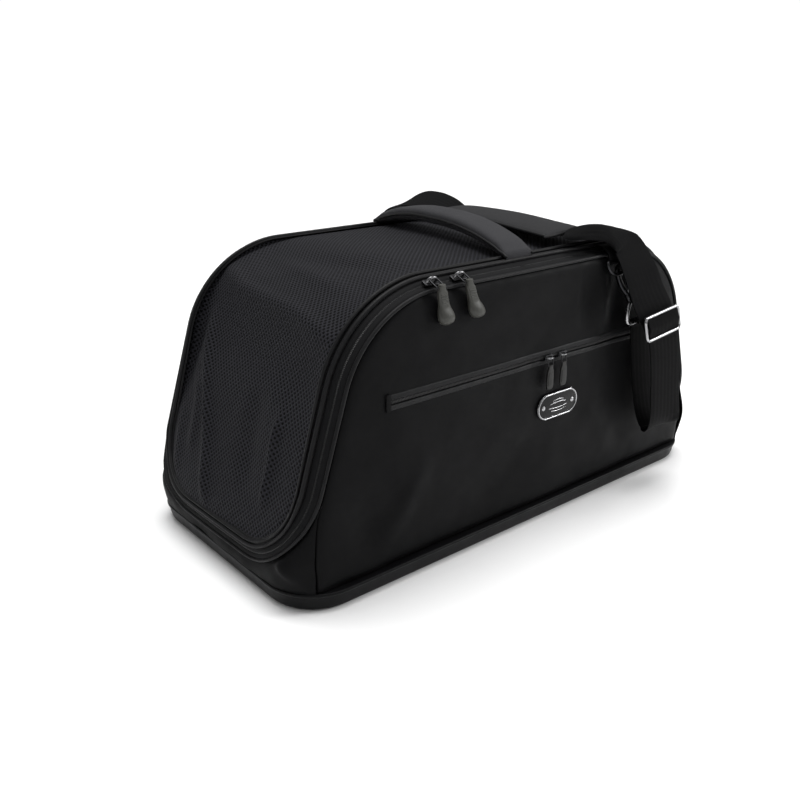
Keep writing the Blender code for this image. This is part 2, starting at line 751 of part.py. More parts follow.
def make_handle():
    sections = []
    for i in range(13):
        share = -1 + 2 * i / 12
        y = HANDLE_END_Y * share
        thick = (14.5 - 8.5 * abs(share) ** 3) * MM
        center = Vector((handle_x(y), y, handle_top(y) - thick / 2))
        right, up = Vector((1, 0, 0)), Vector((0, 0, 1))
        sections.append(ring_section(center, right, up, HANDLE_WIDTH / 2, thick / 2, 10, 0.5))
    loft("handle_grip", sections, "padding")
    pivot(Vector((handle_x(0), 0, handle_top(0))), "handle_grip")
    for label, front in (("front", -1), ("back", 1)):
        half = HANDLE_WIDTH / 2 - 1 * MM
        rows = []
        for y, z in ((105.4, 277.6), (108.5, 275.2), (112, 272.8), (116, 271.2)):
            row = [Vector((handle_x(front * y * MM) + s * half, front * y * MM, z * MM)) for s in (-1, 0, 1)]
            rows.append(row)
        sheet(f"{label}_handle_anchor", rows, 1.6 * MM, lambda p: Vector((0, 0, 1)), "webbing")


# ---- Shoulder strap and its hardware ----

# Centre line of the strap's free stretches, the direction of its width, and how much of the width lies unfolded.
FRONT_ROUTE = (
    ((64, -104.2, 279.5), (1.0, 0.0, 0.0), 1.0),
    ((70, -111.5, 280.3), (0.93, 0.37, 0.0), 0.75),
    ((83, -118, 281.3), (0.75, 0.66, 0.05), 0.6),
    ((98, -122, 280), (0.8, 0.58, 0.12), 0.7),
    ((110, -128, 275), (0.92, 0.35, 0.12), 0.9),
    ((118, -137, 267.5), (0.99, 0.12, 0.1), 1.0),
    ((120, -146, 255.5), (1.0, 0.05, 0.08), 1.0),
    ((122, -152.5, 243), (1.0, 0.0, 0.08), 1.0),
    ((126, -156.5, 230), (1.0, 0.0, 0.1), 1.0),
    ((133, -159.5, 214), (1.0, 0.0, 0.1), 1.0),
    ((143.5, -162.8, 197), (1.0, 0.0, 0.1), 1.0),
    ((152.5, -166.5, 178), (1.0, 0.0, 0.06), 1.0),
    ((158.5, -168.5, 150), (1.0, 0.0, 0.0), 1.0),
    ((163, -169, 118), (1.0, 0.0, -0.04), 1.0),
    ((168, -168.5, 88), (1.0, 0.0, -0.08), 1.0),
    ((172.5, -164.5, 72.5), (1.0, 0.0, -0.08), 1.0),
    ((175, -158, 67.5), (1.0, 0.0, -0.08), 1.0),
    ((174, -151.5, 73), (1.0, 0.0, -0.08), 1.0),
    ((169.5, -147.6, 91), (1.0, 0.0, -0.06), 1.0),
    ((163, -146, 120), (1.0, 0.0, -0.03), 1.0),
    ((156, -146, 152), (1.0, 0.0, 0.0), 1.0),
    ((149.5, -147, 184), (1.0, 0.0, 0.0), 1.0),
)
REAR_ROUTE = (
    ((76, 73, 281), (1.0, 0.0, 0.0), 1.0),
    ((75, 88, 285.5), (0.98, 0.12, 0.0), 1.0),
    ((70, 101, 289), (0.94, 0.3, 0.0), 1.0),
    ((62, 114, 289.5), (0.9, 0.42, -0.05), 1.0),
    ((54, 127, 284.5), (0.87, 0.45, -0.15), 1.0),
    ((47, 138, 271.5), (0.87, 0.42, -0.24), 1.0),
    ((42, 146.5, 251), (0.87, 0.42, -0.26), 1.0),
    ((37, 154, 224), (0.8, 0.55, -0.26), 1.0),
    ((28, 161.5, 196), (0.56, 0.8, -0.2), 1.0),
    ((11, 167, 169), (0.2, 0.97, 0.09), 1.0),
    ((-14, 169.5, 149), (-0.05, 0.94, 0.33), 1.0),
    ((-46, 170, 138), (-0.08, 0.88, 0.46), 1.0),
    ((-78, 169, 138), (-0.05, 0.9, 0.43), 1.0),
    ((-106, 166, 143), (-0.15, 0.96, 0.2), 1.0),
    ((-126, 161, 153), (-0.44, 0.88, -0.19), 1.0),
    ((-139, 154.5, 163), (-0.82, 0.42, -0.38), 1.0),
    ((-143, 149.5, 172.5), (-0.98, 0.06, -0.17), 1.0),
    ((-144.5, 147, 184), (-1.0, 0.0, 0.0), 1.0),
)


def ribbon(name, route, finish):
    """Flat webbing along a route."""
    rows = []
    for point, lie, share in route:
        reach = Vector(lie).normalized() * WEB_WIDTH / 2 * share
        rows.append([mm(*point) - reach, mm(*point), mm(*point) + reach])
    item = sheet(name, rows, WEB_THICKNESS, lambda p: Vector((0, 0, 1)), finish)
    item.modifiers["thickness"].offset = 0
    return item


def make_strap():
    ribbon("strap_front", FRONT_ROUTE, "webbing")
    ribbon("strap_rear", REAR_ROUTE, "webbing")
    stations = (
        (-101, 64, 279.2, 0.62),
        (-98, 64.5, 279.3, 0.86),
        (-90, 66.5, 279.6, 1.0),
        (-60, 71, 280.3, 1.0),
        (-30, 76, 281, 1.0),
        (0, 79, 281.5, 1.0),
        (30, 79, 281.6, 1.0),
        (57, 77.5, 281.4, 1.0),
        (67, 76.5, 281.2, 0.86),
        (70, 76, 281, 0.62),
    )
    sections = []
    for y, x, z, share in stations:
        right, up = Vector((1, 0.08, 0)), Vector((0, 0, 1))
        half_width, half_thick = PAD_WIDTH / 2 * (0.8 + 0.2 * share), PAD_THICKNESS / 2 * share
        sections.append(ring_section(mm(x, y, z), right, up, half_width, half_thick, 10, 0.5))
    loft("shoulder_pad", sections, "padding")


def make_adjuster():
    """A flat frame with a middle bar, lying on the strap's front leg."""
    half_l, half_h, bar = ADJUSTER_LENGTH / 2, ADJUSTER_HEIGHT / 2, 3.2 * MM
    chamfer = 3 * MM
    edge = [(half_l, -half_h + chamfer), (half_l, half_h - chamfer), (half_l - chamfer, half_h)]
    edge += [(-half_l + chamfer, half_h), (-half_l, half_h - chamfer), (-half_l, -half_h + chamfer)]
    edge += [(-half_l + chamfer, -half_h), (half_l - chamfer, -half_h)]
    slots = []
    for low, high in ((-half_h + bar, -bar / 2), (bar / 2, half_h - bar)):
        x = half_l - bar
        slots.append([(-x, low), (x, low), (x, high), (-x, high)])
    frame = plate("strap_adjuster", [edge, *slots], ADJUSTER_THICKNESS, 0, "nickel")
    frame.location = mm(146.5, -168.8, 188)
    frame.rotation_euler = (math.pi / 2 - math.radians(9), -math.radians(6), 0)


def turned(points, front):
    """Front hardware as it is; the back's is the same turned half a turn about the bag's middle."""
    return [Vector((p.x * -front, p.y * -front, p.z)) for p in points]


def make_clip(label, front):
    tab_y_z = ((120.2, 265.6), (124, 266.0), (128.5, 265.4), (133, 263.6), (136.4, 260), (137.6, 254.6))
    rows = []
    for y, z in tab_y_z:
        rows.append(turned([mm(x, -y, z) for x in (90.5, 103, 115.5)], front))
    sheet(f"{label}_ring_tab", rows, 1.5 * MM, lambda p: Vector((0, front, 1)), "webbing")

    bow = [mm(89, -138.4, 252), mm(117, -138.4, 252)]
    for i in range(7):
        angle = math.pi * i / 6
        reach = math.sin(angle)
        bow.append(mm(103 + 14.5 * math.cos(angle), -139.4 - 2.5 * reach, 250 - 10 * reach))
    tube(f"{label}_d_ring", turned(bow, front), 1.8 * MM, "nickel", cyclic=True)

    hook = [mm(121, -141.5, 217), mm(116, -138.6, 223.5), mm(111, -137.6, 231.5), mm(107, -137.4, 239.5)]
    hook += [mm(104.6, -138.5, 245.5), mm(104, -141.5, 248.3), mm(104.6, -144.8, 247.2)]
    hook += [mm(106.4, -146.2, 243.6), mm(108, -146.4, 240)]
    tube(f"{label}_snap_hook", turned(hook, front), 2.2 * MM, "black_metal")

    gate = [mm(109, -146.3, 237.2), mm(118.6, -144.2, 221.4)]
    tube(f"{label}_snap_gate", turned(gate, front), 1.5 * MM, "nickel")
    pivot(turned(gate, front)[-1], f"{label}_snap_gate")

    eye = [mm(117, -147.5, 188.6), mm(173, -147.5, 188.6), mm(175, -147.3, 194), mm(165, -147, 202)]
    eye += [mm(146, -146.5, 207.5), mm(129, -146, 210.5), mm(120.5, -146, 209), mm(116.5, -146.8, 200)]
    tube(f"{label}_strap_eye", turned(eye, front), 2.0 * MM, "nickel", cyclic=True)


clear_scene()
PARTS = new_collection(OBJECT_NAME)
CUTTERS = new_collection("cutters")

make_tray()
make_floor()
make_panel("front_panel", -1)
make_panel("back_panel", 1)
make_liner("front_liner_board", -1)
make_liner("back_liner_board", 1)
make_pocket()
make_badge()
make_gusset("left_end_gusset", -1)
make_gusset("right_end_gusset", 1)
make_band()
make_hoops()
make_roof()
make_door("left_end_door", -1)
make_door("right_end_door", 1)
pivot(Vector((-HINGE_X, 0, HINGE_Z)), "left_end_door", "left_door_tape", "left_door_piping")
pivot(Vector((HINGE_X, 0, HINGE_Z)), "right_end_door", "right_door_tape", "right_door_piping")
make_main_zip()
make_pocket_zip()
make_handle()
make_strap()
make_adjuster()
make_clip("front", -1)
make_clip("back", 1)
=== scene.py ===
"""Looks of a soft pet carrier bag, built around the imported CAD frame.

Metres, +Z up. X runs along the bag and -Y faces the front panel.
"""

import math

import bmesh
import bpy
import numpy as np
from mathutils import Matrix, Vector, noise


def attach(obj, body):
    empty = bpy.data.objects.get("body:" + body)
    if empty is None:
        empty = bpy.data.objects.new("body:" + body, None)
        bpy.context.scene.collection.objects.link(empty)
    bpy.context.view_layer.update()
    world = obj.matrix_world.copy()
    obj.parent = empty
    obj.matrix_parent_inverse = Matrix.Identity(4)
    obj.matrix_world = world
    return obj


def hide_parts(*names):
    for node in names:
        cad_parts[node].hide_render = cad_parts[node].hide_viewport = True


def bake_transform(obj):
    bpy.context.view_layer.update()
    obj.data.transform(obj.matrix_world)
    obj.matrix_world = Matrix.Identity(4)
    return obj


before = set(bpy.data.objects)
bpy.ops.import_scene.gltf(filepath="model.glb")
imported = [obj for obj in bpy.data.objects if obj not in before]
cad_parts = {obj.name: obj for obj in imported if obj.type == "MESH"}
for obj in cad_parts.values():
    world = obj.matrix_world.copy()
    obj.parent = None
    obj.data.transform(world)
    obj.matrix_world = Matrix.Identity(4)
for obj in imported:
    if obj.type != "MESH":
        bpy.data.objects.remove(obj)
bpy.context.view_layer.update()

MM = 0.001

# The bag's form, as in the CAD.
ARCH_RADIUS, ARCH_X, ARCH_Z = 99 * MM, 128 * MM, 158 * MM
LEAN = math.radians(17.6)
SIDE_STOP = math.pi / 2 - LEAN
KNEE_Z, LEAN_END_Z, FOOT_SLOPE = 98 * MM, 45 * MM, 0.07
PANEL_Y, MESH_Y, BAND_RISE = 131 * MM, 113 * MM, 9 * MM
BAND_TILT = math.atan2(BAND_RISE, PANEL_Y - MESH_Y)
BAND_WIDTH = math.hypot(BAND_RISE, PANEL_Y - MESH_Y)
U_BOTTOM, U_RADIUS = (31 * MM, 45 * MM), (80 * MM, 62 * MM)
CORNER_FROM_Y, TRAY_CORNER = 89.5 * MM, 50 * MM
LIP_X, LIP_Y = 280 * MM, 139.5 * MM
BODY_BOTTOM = 18.3 * MM
PANEL_TOP = 257 * MM
ROOF_CROWN = 5 * MM
POCKET_Z, SLIT_HALF_X, SLIT_HALF_Z = 173 * MM, 183.5 * MM, 2.6 * MM
HANDLE_X, HANDLE_END_Y, HANDLE_SKEW = -13 * MM, 104 * MM, 30 * MM
HANDLE_HALF, HANDLE_FOOT_Z = 18 * MM, 0.279


def mm(*values):
    return Vector(values) * MM


def smooth(t):
    t = min(max(t, 0.0), 1.0)
    return t * t * (3 - 2 * t)


def bell(value, middle, width):
    """1 at middle, falling off smoothly over about width on each side."""
    return math.exp(-(((value - middle) / width) ** 2))


def ripple(x, y, z, size):
    """Smooth noise from -1 to 1 with features about size across."""
    return noise.noise(Vector((x, y, z)) / size)


# ---- The bag's form ----


def handle_x(y):
    """The carry handle's middle; the roof's two pieces meet under it."""
    return HANDLE_X + HANDLE_SKEW * (y / HANDLE_END_Y + 1) / 2


def profile_half(z, rise=0.0):
    """Half the bag's length at height z, rise outside the panel's edge."""
    radius = ARCH_RADIUS + rise
    join_z = ARCH_Z + radius * math.sin(LEAN)
    if z >= join_z:
        return ARCH_X + math.sqrt(max(radius**2 - (z - ARCH_Z) ** 2, 0.0))
    return ARCH_X + radius * math.cos(LEAN) + (join_z - z) * math.tan(LEAN)


def end_x(y, z):
    """How far out the end stands at (y, z), with its chamfered band and its rounded foot."""
    face = profile_half(max(z, LEAN_END_Z), BAND_RISE) + max(LEAN_END_Z - z, 0.0) * FOOT_SLOPE
    across = min(max((abs(y) - MESH_Y) / (PANEL_Y - MESH_Y), 0.0), 1.0)
    chamfer = BAND_RISE / math.cos(LEAN) * across
    past = max(abs(y) - CORNER_FROM_Y, 0.0)
    rounding = TRAY_CORNER - math.sqrt(TRAY_CORNER**2 - past**2)
    low = smooth((KNEE_Z - z) / (KNEE_Z - 22 * MM))
    return face - chamfer * (1 - low) - rounding * low


def panel_half(z):
    """Half the panel's length at height z."""
    return profile_half(z) if z >= KNEE_Z else end_x(PANEL_Y, z)


def panel_face(x, z):
    """How far the panel stands from the bag's middle: a low crown between its edges."""
    middle = (PANEL_TOP + BODY_BOTTOM) / 2
    v = (z - middle) / (PANEL_TOP - middle)
    u = x / panel_half(z)
    return 133.2 * MM + 3.8 * MM * (1 - min(abs(v), 1) ** 4) * (1 - min(abs(u), 1) ** 8)


def outer_u_height(y):
    """The height of the band's outer edge where it turns under the end."""
    radius = U_RADIUS[0]
    past = max(abs(y) - (PANEL_Y - radius), 0.0)
    return U_BOTTOM[0] + radius - math.sqrt(max(radius**2 - past**2, 0.0))


ROOF_STEPS, ARC_STEPS, LEG_STEPS, U_STEPS, BOTTOM_STEPS = 22, 26, 10, 18, 8


def end_bulge(side, y, z):
    """How far the soft end stands out past its plain form: most low down, to the back on the left."""
    at = 40 * MM if side < 0 else -20 * MM
    return 4.5 * MM * bell(z, 58 * MM, 42 * MM) * bell(y, at, 90 * MM)


def corner_bulge(side, y, z):
    """The right end's soft lower front corner stands out past the tray's lip."""
    if side < 0:
        return 0.0
    room = smooth((outer_u_height(y) - z) / (30 * MM)) * smooth((z - BODY_BOTTOM) / (14 * MM))
    return 9 * MM * bell(z, 50 * MM, 24 * MM) * smooth((-y - 70 * MM) / (55 * MM)) * room


def quarter(side, front, d, h, start_x):
    """A band line from the roof at start_x, over a top corner and down to the middle of the U's bottom."""
    rise = BAND_RISE * d + h * math.cos(BAND_TILT)
    y = front * (PANEL_Y - (PANEL_Y - MESH_Y) * d + h * math.sin(BAND_TILT))
    radius = ARCH_RADIUS + rise
    points = []
    for i in range(ROOF_STEPS):
        x = start_x + (side * ARCH_X - start_x) * i / ROOF_STEPS
        points.append(Vector((x, y, ARCH_Z + radius)))
    for i in range(ARC_STEPS + 1):
        a = SIDE_STOP * i / ARC_STEPS
        points.append(Vector((side * (ARCH_X + radius * math.sin(a)), y, ARCH_Z + radius * math.cos(a))))
    half = PANEL_Y - (PANEL_Y - MESH_Y) * d
    bottom = U_BOTTOM[0] + (U_BOTTOM[1] - U_BOTTOM[0]) * d
    turn = U_RADIUS[0] + (U_RADIUS[1] - U_RADIUS[0]) * d
    out = Vector((side * math.cos(LEAN), 0, math.sin(LEAN)))
    corner = []
    for i in range(U_STEPS + 1):
        a = math.pi / 2 * i / U_STEPS
        py = front * (half - turn + turn * math.cos(a))
        pz = bottom + turn - turn * math.sin(a)
        point = Vector((side * (end_x(py, pz) + end_bulge(side, py, pz) * 0.6), py, pz))
        radial = Vector((0, front * math.cos(a), -math.sin(a)))
        corner.append(point + h * (math.cos(BAND_TILT) * out + math.sin(BAND_TILT) * radial))
    first = points[-1].copy()
    points += [first.lerp(corner[0], i / LEG_STEPS) for i in range(1, LEG_STEPS)]
    points += corner
    last = corner[-1].copy()
    for i in range(1, BOTTOM_STEPS + 1):
        py = last.y * (1 - i / BOTTOM_STEPS)
        lift = end_bulge(side, py, last.z) - end_bulge(side, last.y, last.z)
        points.append(Vector((last.x + side * lift * 0.6, py, last.z)))
    return points


def half_line(side, d, h):
    """An open band line: roof at the front, round one end, roof at the back."""
    front = quarter(side, -1, d, h, handle_x(-MESH_Y))
    back = quarter(side, 1, d, h, handle_x(MESH_Y))
    return front + back[::-1][1:]


def whole_line(d, h):
    """The closed band line round the whole bag."""
    right, left = half_line(1, d, h), half_line(-1, d, h)
    return right + left[::-1][1:-1]


# ---- Materials ----


class Look:
    """A material's nodes, made one after another."""

    def __init__(self, name, color, roughness, metallic=0.0, **sockets):
        self.material = bpy.data.materials.new(name)
        self.material.use_nodes = True
        self.tree = self.material.node_tree
        self.shader = self.tree.nodes["Principled BSDF"]
        self.color = (*color, 1.0)
        self.put("Base Color", self.color)
        self.put("Roughness", roughness)
        self.put("Metallic", metallic)
        for key, value in sockets.items():
            self.put(key.replace("_", " "), value)

    def put(self, socket, value):
        self.shader.inputs[socket].default_value = value

    def node(self, kind, **settings):
        made = self.tree.nodes.new(kind)
        for key, value in settings.items():
            setattr(made, key, value)
        return made

    def link(self, source, target):
        self.tree.links.new(source, target)

    def feed(self, target, value):
        if isinstance(value, bpy.types.NodeSocket):
            self.link(value, target)
        else:
            target.default_value = value

    def math(self, operation, a, b=0.0):
        made = self.node("ShaderNodeMath", operation=operation)
        self.feed(made.inputs[0], a)
        self.feed(made.inputs[1], b)
        return made.outputs[0]

    def place(self, scale=1.0):
        """Object coordinates, scaled."""
        coordinates = self.node("ShaderNodeTexCoord")
        mapping = self.node("ShaderNodeMapping")
        self.link(coordinates.outputs["Object"], mapping.inputs["Vector"])
        mapping.inputs["Scale"].default_value = (scale,) * 3 if isinstance(scale, float) else scale
        return mapping.outputs[0]

    def weave(self):
        """The piece's own across and along coordinates, in metres."""
        attribute = self.node("ShaderNodeAttribute", attribute_name="weave")
        parts = self.node("ShaderNodeSeparateXYZ")
        self.link(attribute.outputs["Vector"], parts.inputs[0])
        return parts.outputs[0], parts.outputs[1]

    def noise(self, scale, detail=3.0, vector=None):
        made = self.node("ShaderNodeTexNoise")
        self.link(vector or self.place(), made.inputs["Vector"])
        made.inputs["Scale"].default_value = scale
        made.inputs["Detail"].default_value = detail
        return made.outputs["Fac"]

    def spread(self, value, low, high, to_low=0.0, to_high=1.0, kind="LINEAR"):
        made = self.node("ShaderNodeMapRange", interpolation_type=kind)
        self.link(value, made.inputs["Value"])
        for key, number in (("From Min", low), ("From Max", high), ("To Min", to_low), ("To Max", to_high)):
            made.inputs[key].default_value = number
        return made.outputs["Result"]

    def tint(self, value, dark, light):
        """Base colour between two colours."""
        mix = self.node("ShaderNodeMix", data_type="RGBA")
        self.link(value, mix.inputs["Factor"])
        mix.inputs[6].default_value = (*dark, 1.0)
        mix.inputs[7].default_value = (*light, 1.0)
        self.link(mix.outputs[2], self.shader.inputs["Base Color"])
        return mix.outputs[2]

    def rough(self, value, low, high):
        """Roughness between low and high."""
        self.link(self.spread(value, 0.25, 0.75, low, high), self.shader.inputs["Roughness"])

    def bump(self, height, strength, distance, before=None):
        made = self.node("ShaderNodeBump")
        made.inputs["Strength"].default_value = strength
        made.inputs["Distance"].default_value = distance
        self.link(height, made.inputs["Height"])
        if before:
            self.link(before, made.inputs["Normal"])
        self.link(made.outputs[0], self.shader.inputs["Normal"])
        return made.outputs[0]

    def wave(self, value, pitch):
        """A wave from 0 to 1 that repeats every pitch metres."""
        turned = self.math("MULTIPLY", value, 2 * math.pi / pitch)
        return self.spread(self.math("SINE", turned), -1, 1)


def coated_cloth():
    """Smooth black cloth: a fine weave, faint mottling, a soft sheen."""
    look = Look("coated_cloth", (0.0042, 0.0042, 0.0047), 0.55, Specular_IOR_Level=0.07,
                Sheen_Weight=0.004, Sheen_Roughness=0.4)
    broad = look.noise(14.0, 4.0)
    fine = look.noise(900.0, 2.0)
    look.tint(look.spread(broad, 0.3, 0.7), (0.0026, 0.0026, 0.0029), (0.0042, 0.0042, 0.0046))
    look.rough(look.noise(55.0, 4.0), 0.47, 0.62)
    voronoi = look.node("ShaderNodeTexVoronoi", feature="F1", distance="CHEBYCHEV")
    look.link(look.place(1400.0), voronoi.inputs["Vector"])
    first = look.bump(voronoi.outputs["Distance"], 0.12, 0.0004)
    second = look.bump(fine, 0.1, 0.0005, first)
    look.bump(broad, 0.25, 0.0015, second)
    return look.material


def mesh_cloth():
    """Knitted spacer mesh: staggered small holes between raised ribs."""
    look = Look("mesh_cloth", (0.008, 0.008, 0.009), 0.65, Specular_IOR_Level=0.08,
                Sheen_Weight=0.012, Sheen_Roughness=0.5)
    across, along = look.weave()

    def from_hole(value, pitch, shift):
        """Millimetres from the nearest hole of a row of holes pitch millimetres apart."""
        turns = look.math("ADD", look.math("DIVIDE", value, pitch * MM), shift)
        return look.math("MULTIPLY", look.math("SUBTRACT", look.math("FRACT", turns), 0.5), pitch)

    distances = []
    for shift in (0.0, 0.5):
        a, b = from_hole(across, 4.9, shift), from_hole(along, 5.4, shift)
        square = look.math("ADD", look.math("MULTIPLY", a, a), look.math("MULTIPLY", b, b))
        distances.append(look.math("SQRT", square))
    nearest = look.math("MINIMUM", *distances)
    solid = look.spread(nearest, 0.75, 1.55, kind="SMOOTHSTEP")
    mound = look.spread(nearest, 0.6, 2.0, kind="SMOOTHSTEP")
    look.tint(solid, (0.0002, 0.0002, 0.0003), (0.0195, 0.0195, 0.0235))
    first = look.bump(mound, 0.8, 0.0011)
    look.bump(look.noise(1500.0, 2.0), 0.25, 0.0004, first)
    return look.material


def knit_tape():
    """Zip tape: fine ribs along its length."""
    look = Look("zip_tape", (0.005, 0.005, 0.0055), 0.7, Specular_IOR_Level=0.1, Sheen_Weight=0.008)
    across, along = look.weave()
    ribs = look.wave(across, 0.9 * MM)
    rows = look.wave(along, 1.1 * MM)
    height = look.math("MAXIMUM", ribs, rows)
    look.tint(look.noise(60.0), (0.0042, 0.0042, 0.0047), (0.0068, 0.0068, 0.0075))
    look.bump(height, 0.4, 0.0003)
    return look.material


def coil():
    """The zip's meshed coils: slanted turns across the line."""
    look = Look("zip_coil", (0.005, 0.005, 0.0055), 0.42, Specular_IOR_Level=0.25)
    across, along = look.weave()
    slant = look.math("ADD", along, look.math("MULTIPLY", across, 0.25))
    turns = look.wave(slant, 1.5 * MM)
    look.tint(turns, (0.0012, 0.0012, 0.0013), (0.0075, 0.0075, 0.008))
    look.bump(turns, 0.9, 0.0006)
    return look.material


def bound_piping():
    """Cloth wrapped tightly over a cord, with small puckers along it."""
    look = Look("bound_piping", (0.0062, 0.0062, 0.0068), 0.5, Specular_IOR_Level=0.16, Sheen_Weight=0.01)
    across = look.weave()[0]
    puckers = look.noise(260.0, 3.0)
    look.tint(look.noise(40.0), (0.005, 0.005, 0.0055), (0.0082, 0.0082, 0.009))
    look.rough(look.noise(120.0), 0.45, 0.58)
    first = look.bump(look.wave(across, 0.7 * MM), 0.12, 0.0002)
    look.bump(puckers, 0.3, 0.0008, first)
    return look.material


def webbing():
    """Woven webbing: slanted ribs in mirrored stripes with firm edges."""
    look = Look("webbing", (0.005, 0.005, 0.0055), 0.6, Specular_IOR_Level=0.03,
                Sheen_Weight=0.006, Sheen_Roughness=0.4)
    across, along = look.weave()
    stripe = look.node("ShaderNodeMath", operation="PINGPONG")
    look.link(across, stripe.inputs[0])
    stripe.inputs[1].default_value = 3.1 * MM
    slant = look.math("ADD", along, stripe.outputs[0])
    ribs = look.wave(slant, 1.7 * MM)
    lines = look.wave(across, 3.1 * MM)
    look.tint(ribs, (0.0016, 0.0016, 0.0018), (0.0042, 0.0042, 0.0046))
    first = look.bump(ribs, 0.45, 0.0003)
    look.bump(lines, 0.08, 0.0002, first)
    return look.material


def dimmed(color, share):
    return tuple(share * c for c in color)


def stretch_cloth(name, shade):
    """Charcoal padded stretch cloth with a close knit. Shade scales its colour; a copy made brighter than the
    pad's is painted light.
    """
    look = Look(name, (0.016, 0.016, 0.0175), 0.7, Specular_IOR_Level=0.16,
                Sheen_Weight=0.03, Sheen_Roughness=0.45)
    dark, light = dimmed((0.013, 0.013, 0.0145), shade), dimmed((0.0185, 0.0185, 0.0205), shade)
    look.tint(look.noise(22.0, 4.0), dark, light)
    voronoi = look.node("ShaderNodeTexVoronoi")
    look.link(look.place(900.0), voronoi.inputs["Vector"])
    first = look.bump(voronoi.outputs["Distance"], 0.3, 0.0005)
    look.bump(look.noise(70.0, 3.0), 0.25, 0.001, first)
    return look.material


def metal(name, color, roughness, low, high):
    """Plated metal with fine rub marks."""
    look = Look(name, color, roughness, 1.0)
    marks = look.noise(1.0, 4.0, look.place((400.0, 400.0, 2600.0)))
    look.rough(marks, low, high)
    look.tint(look.spread(look.noise(90.0, 4.0), 0.35, 0.65), dimmed(color, 0.82), color)
    look.bump(look.noise(1300.0, 2.0), 0.06, 0.0002)
    return look.material


def grained(name, color, roughness, grain, tint=None, gloss=None, **sockets):
    """A surface with noise in its height, colour and gloss.

    grain, tint and gloss each start with the noise's scale and detail. A strength and a distance,
    two colours, or two roughnesses follow.
    """
    look = Look(name, color, roughness, **sockets)
    if tint:
        look.tint(look.noise(*tint[:2]), *tint[2:])
    if gloss:
        look.rough(look.noise(*gloss[:2]), *gloss[2:])
    look.bump(look.noise(*grain[:2]), *grain[2:])
    return look.material


def moulded_rubber(name, shade):
    tint = (300.0, 3.0, dimmed((0.033, 0.033, 0.029), shade), dimmed((0.05, 0.05, 0.044), shade))
    return grained(name, (0.045, 0.045, 0.04), 0.42, (2200.0, 2.0, 0.2, 0.0002), tint,
                   (160.0, 3.0, 0.38, 0.55), Specular_IOR_Level=0.3)


def satin_plastic():
    """Moulded black plastic with a fine grain and a faint random mottle."""
    tint = (30.0, 4.0, (0.0026, 0.0026, 0.003), (0.004, 0.004, 0.0045))
    return grained("tray_plastic", (0.0032, 0.0032, 0.0036), 0.42, (1600.0, 3.0, 0.25, 0.0003), tint,
                   (90.0, 4.0, 0.36, 0.5), Specular_IOR_Level=0.12)


def soft_lining(name, color):
    return grained(name, color, 0.9, (700.0, 3.0, 0.5, 0.0008), (35.0, 4.0, dimmed(color, 0.75), color),
                   Specular_IOR_Level=0.2, Sheen_Weight=0.3)


def fibre_board():
    tint = (120.0, 5.0, (0.035, 0.031, 0.028), (0.058, 0.052, 0.047))
    return grained("stiff_board", (0.05, 0.045, 0.04), 0.8, (900.0, 3.0, 0.3, 0.0004), tint,
                   Specular_IOR_Level=0.3)


def enamel():
    return grained("badge_field", (0.003, 0.003, 0.0034), 0.3, (3000.0, 2.0, 0.15, 0.0001),
                   gloss=(400.0, 3.0, 0.24, 0.4), Specular_IOR_Level=0.15)


CLOTH, MESH, TAPE, COIL = coated_cloth(), mesh_cloth(), knit_tape(), coil()
PIPING, WEB, RUBBER = bound_piping(), webbing(), moulded_rubber("moulded_rubber", 1.0)
# The handle's grip is the pad's own stretch cloth, brightened to 1.7 against the pad's 0.8 as painted light
# on the handle.
STRETCH, LIT_GRIP_CLOTH = stretch_cloth("stretch_cloth", 0.8), stretch_cloth("grip_cloth_painted_light", 1.7)
DARK_RUBBER = moulded_rubber("dark_rubber", 0.16)
NICKEL = metal("plated_nickel", (0.42, 0.42, 0.43), 0.24, 0.18, 0.34)
BLACK_METAL = metal("black_plate", (0.035, 0.035, 0.037), 0.3, 0.24, 0.4)
GUN_METAL = metal("gun_plate", (0.2, 0.2, 0.205), 0.3, 0.22, 0.38)
STEEL = metal("spring_steel", (0.36, 0.36, 0.37), 0.4, 0.32, 0.5)
TRAY, ENAMEL, BOARD = satin_plastic(), enamel(), fibre_board()
LINING = soft_lining("pad_cloth", (0.05, 0.05, 0.055))
FOAM = soft_lining("wall_lining", (0.03, 0.03, 0.034))


# ---- Building tools ----


def add_object(name, data, look):
    item = bpy.data.objects.new(name, data)
    bpy.context.scene.collection.objects.link(item)
    data.materials.append(look)
    return item


def build(name, vertices, faces, look, weave=None, sharp=45.0):
    """A smooth-shaded mesh; weave gives each vertex its across and along place in metres."""
    data = bpy.data.meshes.new(name)
    data.from_pydata([tuple(v) for v in vertices], [], [tuple(f) for f in faces])
    data.update()
    if weave is None:
        weave = [(v[0], v[1]) for v in vertices]
    attribute = data.attributes.new("weave", "FLOAT_VECTOR", "POINT")
    flat = np.zeros((len(vertices), 3), np.float32)
    flat[:, :2] = np.array(weave, np.float32)
    attribute.data.foreach_set("vector", flat.ravel())
    shape = bmesh.new()
    shape.from_mesh(data)
    bmesh.ops.recalc_face_normals(shape, faces=shape.faces)
    shape.to_mesh(data)
    shape.free()
    data.shade_smooth()
    if sharp:
        data.set_sharp_from_angle(angle=math.radians(sharp))
    return add_object(name, data, look)


def running(points):
    """Distance along a line of points."""
    total, out = 0.0, [0.0]
    for a, b in zip(points, points[1:]):
        total += (b - a).length
        out.append(total)
    return out


